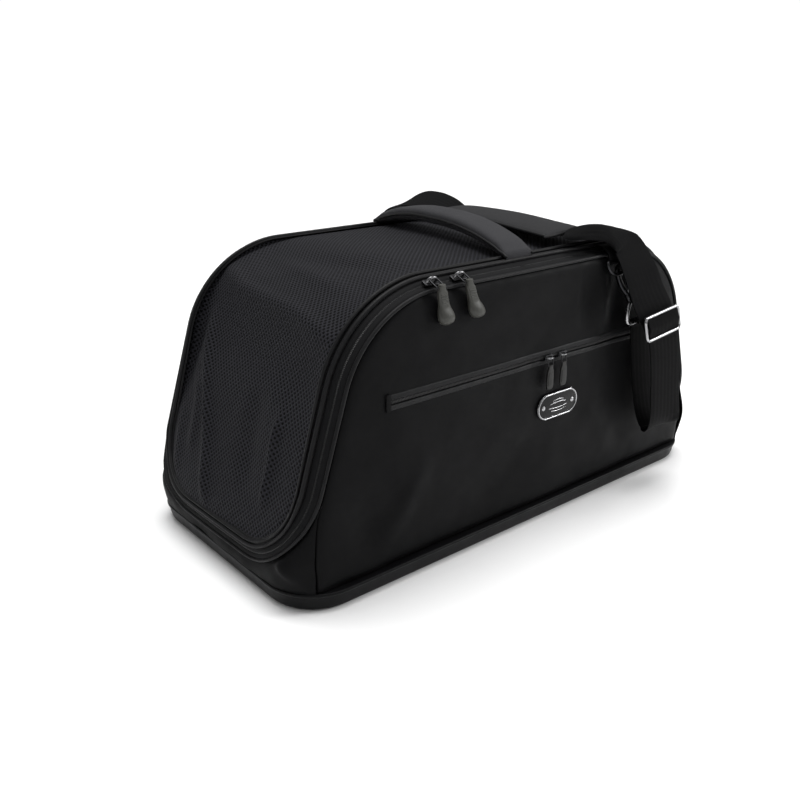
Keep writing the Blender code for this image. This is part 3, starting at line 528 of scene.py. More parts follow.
def grid(name, rows, look, close_rows=False, close_columns=False, caps=False, weave=None, sharp=45.0,
         flip=None):
    """A surface through rows of points; flip gives the direction that its middle face looks in."""
    count, width = len(rows), len(rows[0])
    vertices = [p for row in rows for p in row]
    faces = []
    for r in range(count if close_rows else count - 1):
        s = (r + 1) % count
        for c in range(width if close_columns else width - 1):
            n = (c + 1) % width
            faces.append((r * width + c, r * width + n, s * width + n, s * width + c))
    if caps:
        faces.append(tuple(range(width))[::-1])
        faces.append(tuple((count - 1) * width + i for i in range(width)))
    if weave is None:
        along = running([row[0] for row in rows])
        across = running(rows[count // 2])
        weave = [(a, s) for s in along for a in across]
    item = build(name, vertices, faces, look, weave, sharp)
    if flip is not None:
        middle = item.data.polygons[len(item.data.polygons) // 2]
        if middle.normal.dot(flip(middle.center)) < 0:
            item.data.flip_normals()
    return item


def thicken(item, thickness, offset=-1.0):
    step = item.modifiers.new("thickness", "SOLIDIFY")
    step.thickness, step.offset, step.use_even_offset = thickness, offset, False


def spline_through(points, per=6, closed=False):
    """A smooth line through points of any width (Catmull-Rom)."""
    source = np.array([list(p) for p in points], float)
    count = len(source)
    out = []
    for i in range(count if closed else count - 1):
        if closed:
            p0, p1, p2, p3 = (source[(i + k) % count] for k in (-1, 0, 1, 2))
        else:
            p0, p1 = source[max(i - 1, 0)], source[i]
            p2, p3 = source[i + 1], source[min(i + 2, count - 1)]
        for k in range(per):
            t = k / per
            bend_in, twist_in = 2 * p0 - 5 * p1 + 4 * p2 - p3, 3 * p1 - p0 - 3 * p2 + p3
            out.append(0.5 * (2 * p1 + (p2 - p0) * t + bend_in * t * t + twist_in * t**3))
    if not closed:
        out.append(source[-1])
    return out


def rod(name, points, radius, look, sides=12, closed=False, per=6):
    """A round rod or cord swept along a smooth line; radius may vary along it."""
    path = [Vector(p) for p in (spline_through(points, per, closed) if per > 1 else points)]
    count = len(path)
    if isinstance(radius, tuple):
        radii = list(np.interp(np.linspace(0, 1, count), np.linspace(0, 1, len(radius)), radius))
    else:
        radii = [radius] * count
    tangents = []
    for i in range(count):
        before = path[(i - 1) % count] if closed else path[max(i - 1, 0)]
        after = path[(i + 1) % count] if closed else path[min(i + 1, count - 1)]
        tangents.append((after - before).normalized())
    side = tangents[0].orthogonal().normalized()
    sides_at = []
    for tangent in tangents:
        side = (side - tangent * side.dot(tangent)).normalized()
        sides_at.append(side.copy())
    twist = 0.0
    if closed:
        last = sides_at[-1] - tangents[0] * sides_at[-1].dot(tangents[0])
        twist = math.atan2(tangents[0].dot(last.cross(sides_at[0])), last.dot(sides_at[0]))
    along = running(path)
    rows, weave = [], []

    def ring(center, tangent, side, r, place, turn):
        up = tangent.cross(side)
        row = []
        for k in range(sides):
            a = 2 * math.pi * k / sides + turn
            row.append(center + side * math.cos(a) * r + up * math.sin(a) * r)
            weave.append((2 * math.pi * k / sides * r, place))
        rows.append(row)

    def round_off(i, way, shares):
        for share in shares:
            center = path[i] + way * tangents[i] * radii[i] * (1 - share)
            ring(center, tangents[i], sides_at[i], radii[i] * math.sqrt(1 - (1 - share) ** 2), along[i], 0.0)

    if not closed:
        round_off(0, -1, (0.25, 0.7, 0.93))
    for i in range(count):
        ring(path[i], tangents[i], sides_at[i], radii[i], along[i], twist * i / count)
    if not closed:
        round_off(-1, 1, (0.93, 0.7, 0.25))
    return grid(name, rows, look, close_rows=closed, close_columns=True, caps=not closed, weave=weave,
                sharp=60.0)


def sweep(name, lines, look, closed):
    """A closed section, one line of points for each of its corners, swept round the bag."""
    rows = [list(points) for points in zip(*lines)]
    return grid(name, rows, look, close_rows=closed, close_columns=True, caps=not closed, sharp=50.0)


def cord_section(d, h, radius):
    """A round section in the band's across and height coordinates; its seam is underneath."""
    out = []
    for k in range(12):
        a = -math.pi / 2 + 2 * math.pi * k / 12
        out.append((d + radius * math.cos(a) / BAND_WIDTH, h + radius * math.sin(a)))
    return out


def flat_section(d_low, d_high, h, thickness, crown=0.0):
    """A tape's section: a thin strip, a little raised in its middle."""
    top = []
    for k in range(7):
        share = k / 6
        top.append((d_low + (d_high - d_low) * share, h + crown * (1 - (2 * share - 1) ** 2)))
    under = [(d, y - thickness) for d, y in reversed(top)]
    return under + top


def outline_plate(name, outline, thickness, look, frame_matrix, bevel):
    """A flat plate with soft edges, standing on a frame: its outline lies in the frame's x and y."""
    curve = bpy.data.curves.new(name, "CURVE")
    curve.dimensions, curve.fill_mode = "2D", "BOTH"
    curve.extrude = max(thickness / 2 - bevel, 0.01 * MM)
    curve.bevel_depth, curve.bevel_resolution, curve.offset = bevel, 3, -bevel
    spline = curve.splines.new("POLY")
    spline.points.add(len(outline) - 1)
    for place, (x, y) in zip(spline.points, outline):
        place.co = (x, y, 0, 1)
    spline.use_cyclic_u = True
    carrier = bpy.data.objects.new(name + "_curve", curve)
    bpy.context.scene.collection.objects.link(carrier)
    bpy.context.view_layer.update()
    data = bpy.data.meshes.new_from_object(carrier)
    bpy.data.objects.remove(carrier)
    data.name = name
    shape = bmesh.new()
    shape.from_mesh(data)
    bmesh.ops.remove_doubles(shape, verts=shape.verts, dist=0.002 * MM)
    shape.to_mesh(data)
    shape.free()
    data.transform(frame_matrix)
    data.materials.clear()
    data.shade_smooth()
    data.set_sharp_from_angle(angle=math.radians(40))
    return add_object(name, data, look)


def stadium(half_length, radius, steps=16):
    """The outline of a bar with round ends."""
    out = []
    for side, start in ((1, -90), (-1, 90)):
        for i in range(steps + 1):
            a = math.radians(start + 180 * i / steps)
            out.append((side * (half_length - radius) + radius * math.cos(a), radius * math.sin(a)))
    return out


def rounded_box(half_x, half_y, radius, steps=6):
    """The outline of a box with round corners."""
    out = []
    for quarter_turn, (sx, sy) in enumerate(((1, 1), (-1, 1), (-1, -1), (1, -1))):
        for i in range(steps + 1):
            a = math.pi / 2 * (quarter_turn + i / steps)
            x = sx * (half_x - radius) + radius * math.cos(a)
            out.append((x, sy * (half_y - radius) + radius * math.sin(a)))
    return out


def frame_at(origin, y_axis):
    """A place at origin whose x runs along the bag and whose y leans towards y_axis."""
    x = Vector((1, 0, 0))
    z = x.cross(Vector(y_axis)).normalized()
    y = z.cross(x)
    out = Matrix((x, y, z)).transposed().to_4x4()
    out.translation = Vector(origin)
    return out


def scaled(outline, factor=MM):
    return [(x * factor, y * factor) for x, y in outline]


def boxy(a, x_power, y_power):
    """The point at angle a of a rounded square that reaches one from its middle."""
    c, s = math.cos(a), math.sin(a)
    return math.copysign(abs(c) ** x_power, c), math.copysign(abs(s) ** y_power, s)


def done(item, slot, body, *nodes):
    """Hides the CAD nodes the piece stands for and hangs the piece on its body; the finish (slot) is not
    used.
    """
    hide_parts(*nodes)
    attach(item, body)
    return item


def bend(item, side, slot, *nodes):
    """Cloth that crosses a door's hinge: hides the CAD nodes it stands for and bakes its place into its mesh.
    """
    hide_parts(*nodes)
    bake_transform(item)
    return item


# ---- Tray, floor and walls ----


def make_tray():
    profile = (
        (14.2, 4.0), (14.2, 16.8), (13.6, 17.7), (12.6, 18.0), (1.6, 18.0), (0.7, 17.8), (0.15, 17.2),
        (0.0, 16.4), (0.1, 15.6), (0.6, 15.1), (1.1, 14.8), (1.35, 14.0), (2.2, 9.5), (3.1, 5.0),
        (3.9, 2.6), (5.4, 1.0), (7.6, 0.2), (9.5, 0.0), (30.0, 0.0),
    )
    rows = []
    for inset, z in profile:
        corner = max(TRAY_CORNER - inset * MM, 12 * MM)
        outline = rounded_box(LIP_X - inset * MM, LIP_Y - inset * MM, corner, 14)
        rows.append([Vector((x, y, z * MM)) for x, y in outline])
    tray = grid("tray", rows, TRAY, close_columns=True, caps=True, sharp=70.0)
    done(tray, "tray", "shell", "base_tray")


def make_bedding():
    """A quilted pad lying on the tray's board."""
    rows = []
    half_x, half_y = 260 * MM, 119 * MM
    levels = (
        (0.35, 0.35, 8.6), (0.96, 0.94, 8.9), (1.0, 1.0, 14.0), (1.0, 1.0, 21.0), (0.985, 0.97, 25.6),
        (0.95, 0.92, 27.2), (0.8, 0.75, 27.6), (0.6, 0.55, 27.8), (0.4, 0.35, 27.8), (0.2, 0.16, 27.8),
        (0.02, 0.02, 27.8),
    )
    for sx, sy, z in levels:
        outline = rounded_box(half_x * sx, half_y * sy, min(34 * MM, half_y * sy * 0.9), 12)
        row = []
        for x, y in outline:
            top = z * MM
            if z > 26:
                top -= 1.6 * MM * max(bell(abs(x), 85 * MM, 4 * MM), bell(y, 0, 4 * MM))
            row.append(Vector((x, y, top)))
        rows.append(row)
    pad = grid("bedding_cushion", rows, LINING, close_columns=True, caps=True, sharp=80.0)
    done(pad, "lining", "shell", "bedding_pad")


def edge_tuck(distance):
    """Cloth rolls inwards over its last few millimetres, under the piping."""
    return 3.4 * MM * math.exp(-distance / (2.6 * MM))


# Folds and dents of the front (-1) and back (1) panels in millimetres, dents negative. Those near the
# roof have a height, a place along the bag, a width, and the level and span over which they set in.
UPPER_FOLDS = {
    -1: ((-4.2, 66, 9, 180, 45), (4.0, 88, 9, 170, 50), (-4.4, 112, 11, 150, 60)),
    1: ((-2.6, -60, 22, 150, 60),),
}
# The others have a height, a place and width along the bag, a level and spread, and a slant about a level.
LOWER_FOLDS = {
    -1: ((-4.2, -204, 17, 68, 22, 0.5, 66), (4.0, -176, 14, 74, 30, -0.6, 60), (3.0, -150, 45, 105, 42, 0, 0),
         (-3.4, 118, 20, 90, 50, 0.4, 100), (-2.6, -30, 28, 72, 34, -0.8, 80)),
    1: ((-2.6, 150, 26, 80, 40, 0, 0), (2.0, 40, 50, 110, 50, 0, 0)),
}


def panel_wrinkles(x, z, front):
    """Soft folds, dents and puckers of a panel, outwards positive."""
    out = 0.0
    for height, middle, width, level, span in UPPER_FOLDS[front]:
        out += height * MM * bell(x, middle * MM, width * MM) * smooth((z - level * MM) / (span * MM))
    for height, middle, width, level, spread, slant, about in LOWER_FOLDS[front]:
        across = bell(x + (z - about * MM) * slant, middle * MM, width * MM)
        out += height * MM * across * bell(z, level * MM, spread * MM)
    out += 1.9 * MM * ripple(x, z, front * 3.0, 90 * MM) + 0.8 * MM * ripple(x, z, front * 7.0, 30 * MM)
    return out


def front_face(x, z):
    """How far the wrinkled front panel stands from the bag's middle."""
    return panel_face(x, z) + panel_wrinkles(x, z, -1)


def make_panel(front):
    name = "front_cloth" if front < 0 else "back_cloth"
    rows, weave = [], []
    levels = [BODY_BOTTOM + (PANEL_TOP - BODY_BOTTOM) * math.sin(math.pi / 2 * i / 62) for i in range(63)]
    slit = [POCKET_Z + s * MM for s in (-3.4, -2.4, 0, 2.4, 3.4)] if front < 0 else []
    levels = sorted([z for z in levels if all(abs(z - s) > 1.2 * MM for s in slit)] + slit)
    columns = 140
    for z in levels:
        half = panel_half(z) - 0.3 * MM
        row = []
        for i in range(columns + 1):
            share = math.sin(math.pi / 2 * (-1 + 2 * i / columns)) * 0.35 + (-1 + 2 * i / columns) * 0.65
            x = (half + corner_bulge(share, front * PANEL_Y, z)) * share
            to_side = (half - abs(x)) * math.cos(LEAN)
            to_top = PANEL_TOP - z
            distance = min(to_side, to_top)
            inner = smooth(distance / (45 * MM))
            pucker = 0.28 * MM * ripple(x * 2.2, z * 2.2, front, 22 * MM) * math.exp(-distance / (14 * MM))
            y = panel_face(x, z) + panel_wrinkles(x, z, front) * (0.25 + 0.75 * inner) + pucker
            y -= edge_tuck(distance)
            y -= 1.0 * MM * (1 - smooth((z - BODY_BOTTOM) / (9 * MM)))
            if front < 0 and abs(x) < SLIT_HALF_X and abs(z - POCKET_Z) < SLIT_HALF_Z:
                y -= 2.2 * MM
            row.append(Vector((x, front * y, z)))
            weave.append((x, z))
        rows.append(row)
    panel = grid(name, rows, CLOTH, weave=weave, flip=lambda p: Vector((0, front, 0)))
    thicken(panel, 1.2 * MM)
    done(panel, "fabric", "shell", "front_panel" if front < 0 else "back_panel")


def make_gusset(side):
    label = "left" if side < 0 else "right"
    rows, weave = [], []
    edge = PANEL_Y - 0.6 * MM
    for i in range(91):
        y = edge * math.sin(math.pi / 2 * (-1 + 2 * i / 90))
        top = outer_u_height(y) - 0.5 * MM
        row = []
        for k in range(15):
            share = k / 14
            z = BODY_BOTTOM + (top - BODY_BOTTOM) * share
            out = end_bulge(side, y, z) * 0.6 + corner_bulge(side, y, z)
            full = 2.6 * MM * math.sin(math.pi * min(share * 1.1, 1)) * smooth((abs(y) - 55 * MM) / (40 * MM))
            out += full * smooth((top - BODY_BOTTOM) / (40 * MM)) * smooth((PANEL_Y - abs(y)) / (14 * MM))
            slack = 2.2 * MM * ripple(y, z * 1.6, side * 5.0, 48 * MM)
            slack += 0.8 * MM * ripple(y, z, side * 5.0, 20 * MM)
            out += slack * smooth((top - z) / (9 * MM)) * smooth((PANEL_Y - abs(y)) / (10 * MM))
            if side < 0:
                ridge = bell(z - 40 * MM, (y + 112 * MM) * 0.8, 7 * MM) * bell(y, -112 * MM, 16 * MM)
                out += 3.5 * MM * ridge * smooth((top - z) / (10 * MM)) * smooth((z - BODY_BOTTOM) / (8 * MM))
            near = min(top - z, (PANEL_Y - abs(y)) * 1.2 + 4 * MM)
            x = end_x(y, z) + out - 2.2 * MM * math.exp(-max(near, 0) / (2.4 * MM))
            row.append(Vector((side * x, y, z)))
            weave.append((y, z))
        rows.append(row)
    gusset = grid(f"{label}_corner_cloth", rows, CLOTH, weave=weave, flip=lambda p: Vector((side, 0, 0)))
    thicken(gusset, 1.2 * MM)
    done(gusset, "fabric", "shell", f"{label}_end_gusset")


# ---- Mesh roof and ends ----

MESH_RADIUS = ARCH_RADIUS + BAND_RISE
MESH_ARC = MESH_RADIUS * SIDE_STOP
MESH_LEG = (ARCH_Z + MESH_RADIUS * math.sin(LEAN) - U_BOTTOM[1]) / math.cos(LEAN)

# Soft folds of each end, from a high point to a low one (y, z), with a width and a height.
LEFT_FOLDS = (
    ((92, 206), (52, 128), 6.0, 4.0),
    ((52, 128), (22, 58), 6.5, 4.6),
    ((78, 150), (66, 92), 6.0, 2.6),
    ((-62, 150), (-66, 84), 5.0, 4.4),
    ((-22, 160), (-30, 90), 15.0, -4.0),
    ((100, 120), (84, 60), 8.0, 3.2),
)
RIGHT_FOLDS = (
    ((-58, 200), (-28, 110), 6.0, 1.7),
    ((40, 190), (62, 90), 7.0, 1.5),
    ((0, 140), (-6, 70), 10.0, -1.4),
)

# Where the roof creases over each end: the arc angle across the bag.
CREASE_Y = (-113, -96, -38, 60, 113)
CREASE_LEFT, CREASE_RIGHT = (54, 52, 46, 43, 33), (40, 42, 46, 46, 50)


def fold_height(folds, y, z):
    out = 0.0
    for (y1, z1), (y2, z2), width, height in folds:
        t = (z1 * MM - z) / ((z1 - z2) * MM)
        center = (y1 + (y2 - y1) * t) * MM
        ends = smooth((t + 0.25) / 0.4) * smooth((1.25 - t) / 0.4)
        out += height * MM * bell(y, center, width * MM) * ends
    return out


def mesh_lift(side, run, share, y, z):
    """How far the mesh stands out from its plain form: sagging roof, crease, slack end and folds."""
    crease_degrees = np.interp(y / MM, CREASE_Y, CREASE_LEFT if side < 0 else CREASE_RIGHT)
    crease = ARCH_X + MESH_RADIUS * math.radians(float(crease_degrees))
    pinned = 1 - abs(share) ** 6
    lift = 0.0
    before = (crease - run) / (crease - ARCH_X + 25 * MM)
    if before > 0:
        fade = smooth(before * 1.4)
        lift += ROOF_CROWN * (1 - share**2) * fade
        if before < 1:
            lift -= 9.0 * MM * math.sin(math.pi * before) ** 2 * pinned
    past = (run - crease) / (100 * MM)
    if 0 < past < 1:
        lift -= 8.5 * MM * math.sin(math.pi * past**0.8) ** 2 * pinned
    lift += 4.2 * MM * bell(run, crease, 8 * MM) * pinned
    lift += 3.2 * MM * bell(run, ARCH_X + 40 * MM - 0.12 * y, 11 * MM) * bell(y, -10 * MM, 60 * MM) * pinned
    lift -= 2.8 * MM * bell(run, ARCH_X + 12 * MM + 0.1 * y, 13 * MM) * bell(y, -30 * MM, 60 * MM) * pinned
    if z < 235 * MM and run > ARCH_X:
        folds = LEFT_FOLDS if side < 0 else RIGHT_FOLDS
        lift += (fold_height(folds, y, z) + end_bulge(side, y, z)) * pinned
        lift += end_bulge(side, y, z) * 0.6 * (1 - pinned)
    edge, height = (102 * MM, 178 * MM) if side < 0 else (-102 * MM, 165 * MM)
    lift -= 7.5 * MM * bell(y, edge, 9 * MM) * bell(z, height, 42 * MM)
    lift -= 1.3 * MM * bell(abs(share), 0.955, 0.03)
    creep = 1.2 * MM * ripple(run, y, side, 70 * MM) + 0.5 * MM * ripple(run, y, side * 4.0, 26 * MM)
    lift += creep * pinned
    lift += 0.6 * MM * ripple(run * 0.4, y, side * 9.0, 12 * MM) * math.exp(-(1 - abs(share)) / 0.12) * pinned
    return lift


def make_mesh(side):
    label = "left" if side < 0 else "right"
    end = ARCH_X + MESH_ARC + MESH_LEG
    count, columns = 128, 64
    rows, weave = [], []
    for i in range(count + 1):
        row = []
        for c in range(columns + 1):
            share = math.sin(math.pi / 2 * (-1 + 2 * c / columns)) * 0.25 + (-1 + 2 * c / columns) * 0.75
            start = side * handle_x(share * MESH_Y)
            run = start + (end - start) * i / count
            if run <= ARCH_X:
                angle, x, z = 0.0, run, ARCH_Z + MESH_RADIUS
            elif run <= ARCH_X + MESH_ARC:
                angle = (run - ARCH_X) / MESH_RADIUS
                x, z = ARCH_X + MESH_RADIUS * math.sin(angle), ARCH_Z + MESH_RADIUS * math.cos(angle)
            else:
                angle, over = SIDE_STOP, run - ARCH_X - MESH_ARC
                x = ARCH_X + MESH_RADIUS * math.cos(LEAN) + over * math.sin(LEAN)
                z = ARCH_Z + MESH_RADIUS * math.sin(LEAN) - over * math.cos(LEAN)
            radius = U_RADIUS[1]
            below = min(max(U_BOTTOM[1] + radius - z, 0.0), radius)
            half = MESH_Y - radius + math.sqrt(max(radius**2 - below**2, 0.0))
            y = half * share
            px = end_x(y, z) if z < KNEE_Z else x
            lift = mesh_lift(side, run, share, y, z)
            row.append(Vector((side * (px + lift * math.sin(angle)), y, z + lift * math.cos(angle))))
            weave.append((y, run))
        rows.append(row)
    item = grid(f"{label}_mesh_cloth", rows, MESH, weave=weave, flip=lambda p: Vector((side, 0, 0.6)))
    thicken(item, 1.8 * MM)
    bend(item, side, "mesh", f"{label}_end_door", "top_mesh")


# ---- Band of tapes, pipings and zip ----


def make_band():
    def whole(name, section, look, slot, node):
        done(sweep(name, [whole_line(d, h) for d, h in section], look, True), slot, "shell", node)

    def half(name, side, section, look, slot, *nodes):
        bend(sweep(name, [half_line(side, d, h) for d, h in section], look, False), side, slot, *nodes)

    tape, coils = (0.05, 0.385, 0.7 * MM, 1.2 * MM, 0.9 * MM), (0.33, 0.52, 0.3 * MM, 1.0 * MM, 0.5 * MM)
    whole("outer_tape", flat_section(*tape), TAPE, "tape", "outer_zip_tape")
    whole("panel_piping", cord_section(0.0, 1.5 * MM, 1.7 * MM), PIPING, "piping", "outer_piping")
    whole("main_zip_coil", flat_section(*coils), COIL, "tape", "main_zip_chain")
    for label, side in (("left", -1), ("right", 1)):
        inner = flat_section(0.46, 0.76, 0.7 * MM, 1.2 * MM, 0.6 * MM)
        half(f"{label}_inner_tape", side, inner, TAPE, "tape",
             f"{label}_door_tape", "front_roof_tape", "back_roof_tape")
        half(f"{label}_piping_base", side, flat_section(0.74, 1.3, 0.3 * MM, 1.4 * MM), PIPING, "piping")
        half(f"{label}_tape_side_piping", side, cord_section(0.86, 1.7 * MM, 2.2 * MM), PIPING, "piping",
             f"{label}_door_piping", "front_roof_piping", "back_roof_piping")
        half(f"{label}_mesh_side_piping", side, cord_section(1.16, 1.6 * MM, 1.8 * MM), PIPING, "piping")


# ---- Sliders and pulls ----

# Where the pulls' rings turn on the sliders' bridges (main: y, z), and the height at which the main
# pulls hang in theirs, in millimetres.
MAIN_BRIDGE, POCKET_BRIDGE_Y, PULL_RING_Z = (-127.829, 266.859), -141.49, 261.5


def make_slider(name, seat, across, scale, body):
    """A zip slider: a crowned plate that is broad at one end, with a bridge for the pull."""
    place = frame_at(seat, across)
    outline = [(-8.2, -2.6), (-6.4, -3.8), (0, -3.6), (4.4, -4.4), (7.2, -3.8), (8.4, -1.6), (6.8, 0),
               (8.4, 1.6), (7.2, 3.8), (4.4, 4.4), (0, 3.6), (-6.4, 3.8), (-8.2, 2.6)]
    unit = MM * scale
    lower = place @ Matrix.Translation((0, 0, 1.3 * unit))
    plate = outline_plate(name, scaled(outline, unit), 2.4 * unit, BLACK_METAL, lower, 0.6 * unit)
    done(plate, "black_metal", body, body)
    line = [(-5.4, 2.1), (-4.4, 4.6), (-2.2, 6.3), (2.2, 6.3), (4.4, 4.6), (5.4, 2.1)]
    points = [place @ Vector((x, 0, z)) for x, z in scaled(line, unit)]
    done(rod(f"{name}_bridge", points, 1.3 * unit, GUN_METAL, 10), "black_metal", body)


def wire_ring(name, bar, far, half_width, radius, body):
    """The pull's wire loop, between the slider's bridge and the pull."""
    way = (far - bar).normalized()
    x = Vector((1, 0, 0))
    length = (far - bar).length
    corner = half_width * 0.55
    points = []
    for cx, cy, start in ((1, 0, -90), (1, 1, 0), (-1, 1, 90), (-1, 0, 180)):
        for i in range(5):
            a = math.radians(start + 90 * i / 4)
            points.append(bar + x * (cx * (half_width - corner) + corner * math.cos(a))
                          + way * ((length - corner if cy else corner) + corner * math.sin(a)))
    done(rod(name, points, radius, BLACK_METAL, 10, closed=True, per=2), "nickel", body, f"{body}_ring")


def make_main_pull(label, x, lean):
    """A moulded tongue that grows into a ball end, with a recessed grip field on its face."""
    # Height, half width, half thickness, and how far the ball end stands forward.
    stations = (
        (264.6, 1.6, 0.9, 0), (264.4, 2.8, 1.5, 0), (263.6, 3.3, 2.1, 0), (260.4, 3.4, 2.2, 0),
        (258.4, 4.6, 2.2, 0), (256.5, 5.0, 2.3, 0), (251, 5.1, 2.4, 0), (247, 5.4, 2.6, 0.2),
        (244, 6.2, 3.1, 0.6), (241.4, 7.5, 4.0, 1.4), (238.8, 8.3, 4.8, 2.0), (236, 8.5, 5.1, 2.3),
        (233.2, 7.8, 4.8, 2.0), (231.2, 6.2, 3.8, 1.4), (230, 4.0, 2.4, 1.0), (229.5, 1.5, 0.9, 0.8),
    )
    rows = []
    for z, half_width, half_thick, forward in spline_through(stations, 3):
        center = x + lean * max(PULL_RING_Z - z, 0) * MM
        power = 0.55 if z > 246 else 0.55 + 0.4 * smooth((246 - z) / 7)
        row = []
        for k in range(24):
            c, s = boxy(2 * math.pi * k / 24, power, power)
            y = (-139.5 - forward * 0.75) * MM + s * half_thick * MM
            row.append(Vector((center + c * half_width * MM, y, z * MM)))
        rows.append(row)
    pull = grid(f"{label}_main_tongue", rows, RUBBER, close_columns=True, caps=True, sharp=70.0)
    done(pull, "rubber", f"{label}_main_pull", f"{label}_main_pull")
    for index in range(5):
        z = 255.5 - 2.0 * index
        middle = x + lean * (PULL_RING_Z - z) * MM
        line = [Vector((middle + s * 3.1 * MM, -141.75 * MM, z * MM)) for s in (-1, 0, 1)]
        rib = rod(f"{label}_main_tongue_rib_{index}", line, 0.55 * MM, RUBBER, 8, per=2)
        done(rib, "rubber", f"{label}_main_pull")


def make_main_zip():
    across = Vector((0, math.cos(BAND_TILT), math.sin(BAND_TILT)))
    for label, x, lean in (("left", -130 * MM, 0.17), ("right", -99 * MM, 0.33)):
        seat = quarter(-1, -1, 0.36, 2.2 * MM, 0.0)[0]
        seat.x = x
        make_slider(f"{label}_main_zip_slider", seat, across, 1.0, f"{label}_main_slider")
        bar = Vector((x, MAIN_BRIDGE[0] * MM, MAIN_BRIDGE[1] * MM))
        far = Vector((x, -139.3 * MM, PULL_RING_Z * MM))
        wire_ring(f"{label}_main_wire_ring", bar, far, 4.3 * MM, 0.75 * MM, f"{label}_main_pull")
        make_main_pull(label, x, lean)


def make_pocket():
    half, tall = 187 * MM, 7.2 * MM
    line = [(-tall, 0.0), (-tall + 0.8 * MM, 0.9 * MM), (-4.6 * MM, 1.1 * MM), (-2.9 * MM, 1.5 * MM),
            (-2.3 * MM, 1.1 * MM), (-2.1 * MM, -0.4 * MM)]
    for label, flip_z in (("lower", 1), ("upper", -1)):
        rows, weave = [], []
        for i in range(81):
            x = half * (-1 + 2 * i / 80)
            row = []
            for dz, out in line:
                z = POCKET_Z + flip_z * dz
                wave = 0.25 * MM * ripple(x, flip_z * 2.0, 0.0, 40 * MM)
                row.append(Vector((x, -(front_face(x, z) + out + wave - 0.3 * MM), z)))
                weave.append((dz, x))
            rows.append(row)
        item = grid(f"pocket_welt_{label}", rows, PIPING, weave=weave, flip=lambda p: Vector((0, -1, 0)))
        thicken(item, 0.7 * MM)
        done(item, "tape", "shell", *(["pocket_welt"] if flip_z > 0 else []))
    for label, end in (("left", -1), ("right", 1)):
        outline = rounded_box(2.6 * MM, tall + 0.6 * MM, 1.2 * MM)
        x = end * 184.6 * MM
        place = frame_at((x, -(front_face(x, POCKET_Z) + 0.9 * MM), POCKET_Z), (0, 0, 1))
        item = outline_plate(f"pocket_end_tab_{label}", outline, 1.0 * MM, CLOTH, place, 0.45 * MM)
        done(item, "tape", "shell")
    rows, weave = [], []
    for i in range(121):
        x = 182 * MM * (-1 + 2 * i / 120)
        y = front_face(x, POCKET_Z)
        row = []
        for k in range(9):
            a = math.pi * k / 8
            dz = -2.0 * MM * math.cos(a)
            row.append(Vector((x, -(y - 0.5 * MM + 0.8 * MM * math.sin(a)), POCKET_Z + dz)))
            weave.append((dz, x))
        rows.append(row)
    item = grid("pocket_zip_coil", rows, COIL, weave=weave, flip=lambda p: Vector((0, -1, 0)))
    thicken(item, 0.6 * MM)
    done(item, "tape", "shell", "pocket_zip_chain")
    for label, x in (("left", 9 * MM), ("right", 28 * MM)):
        seat = Vector((x, -138.5 * MM, POCKET_Z))
        make_slider(f"{label}_pocket_zip_slider", seat, (0, 0, 1), 0.68, f"{label}_pocket_slider")
        bar = Vector((x, POCKET_BRIDGE_Y * MM, POCKET_Z))
        far = bar + mm(0, -0.9, -8.5)
        pull = f"{label}_pocket_pull"
        wire_ring(f"{label}_pocket_wire_ring", bar, far, 3.2 * MM, 0.55 * MM, pull)
        top = far.z + 1.6 * MM
        right = [(2.4, 0), (2.9, 0.5), (3.0, 3), (4.2, 6.5), (4.6, 13), (4.6, 20.5), (3.7, 23.4), (1.8, 24.3)]
        outline = [(a * MM, -b * MM) for a, b in right + [(-a, b) for a, b in reversed(right)]]
        place = frame_at((x, far.y, top), (0, 0, 1))
        tab = outline_plate(f"{label}_pocket_tab", outline, 1.9 * MM, DARK_RUBBER, place, 0.6 * MM)
        done(tab, "rubber", pull, pull)
        inlay = scaled(rounded_box(2.9, 6.4, 1.2))
        place = frame_at((x, far.y - 1.0 * MM, top - 14.5 * MM), (0, 0, 1))
        face = outline_plate(f"{label}_pocket_tab_inlay", inlay, 0.5 * MM, DARK_RUBBER, place, 0.2 * MM)
        done(face, "rubber", pull)


def make_badge():
    place = frame_at((27 * MM, -138.2 * MM, 121.5 * MM), (0, 0, 1))
    base = outline_plate("badge_base", scaled(stadium(28.5, 13)), 1.8 * MM, NICKEL, place, 0.5 * MM)
    done(base, "nickel", "shell", "badge_plate")
    face = place @ Matrix.Translation((0, 0, 0.95 * MM))
    field = outline_plate("badge_field", scaled(stadium(26.7, 11.2)), 0.3 * MM, ENAMEL, face, 0.1 * MM)
    done(field, "nickel", "shell")
    rim = [face @ Vector((x, y, 0.1 * MM)) for x, y in scaled(stadium(27.6, 12.1, 12))]
    done(rod("badge_rim", rim, 0.75 * MM, NICKEL, 10, closed=True, per=2), "nickel", "shell")
    for index, (y, reach) in enumerate(((5.4, 7.5), (2.6, 11.0), (-3.2, 13.0), (-6.4, 9.5))):
        points = []
        for x in np.linspace(-reach, reach, 9):
            bow = 0.9 * (abs(x) / reach) ** 2 * math.copysign(1, y)
            points.append(face @ Vector((x * MM, (y - bow) * MM, 0.2 * MM)))
        done(rod(f"badge_line_{index}", points, 0.42 * MM, NICKEL, 8, per=3), "nickel", "shell")
    for label, side in (("left", -1), ("right", 1)):
        rows = []
        for depth, r in ((0.0, 2.5), (0.3, 2.45), (0.7, 2.1), (1.0, 1.4), (1.15, 0.4)):
            turns = [2 * math.pi * k / 20 for k in range(20)]
            rows.append([face @ mm(side * 21 + r * math.cos(a), r * math.sin(a), depth) for a in turns])
        rivet = grid(f"badge_rivet_head_{label}", rows, NICKEL, close_columns=True, caps=True, sharp=60.0)
        done(rivet, "nickel", "shell", f"badge_rivet_{label}")


# ---- Carry handle ----


def handle_top(y):
    return (296.5 - 17.5 * (abs(y) / MESH_Y) ** 2.4) * MM


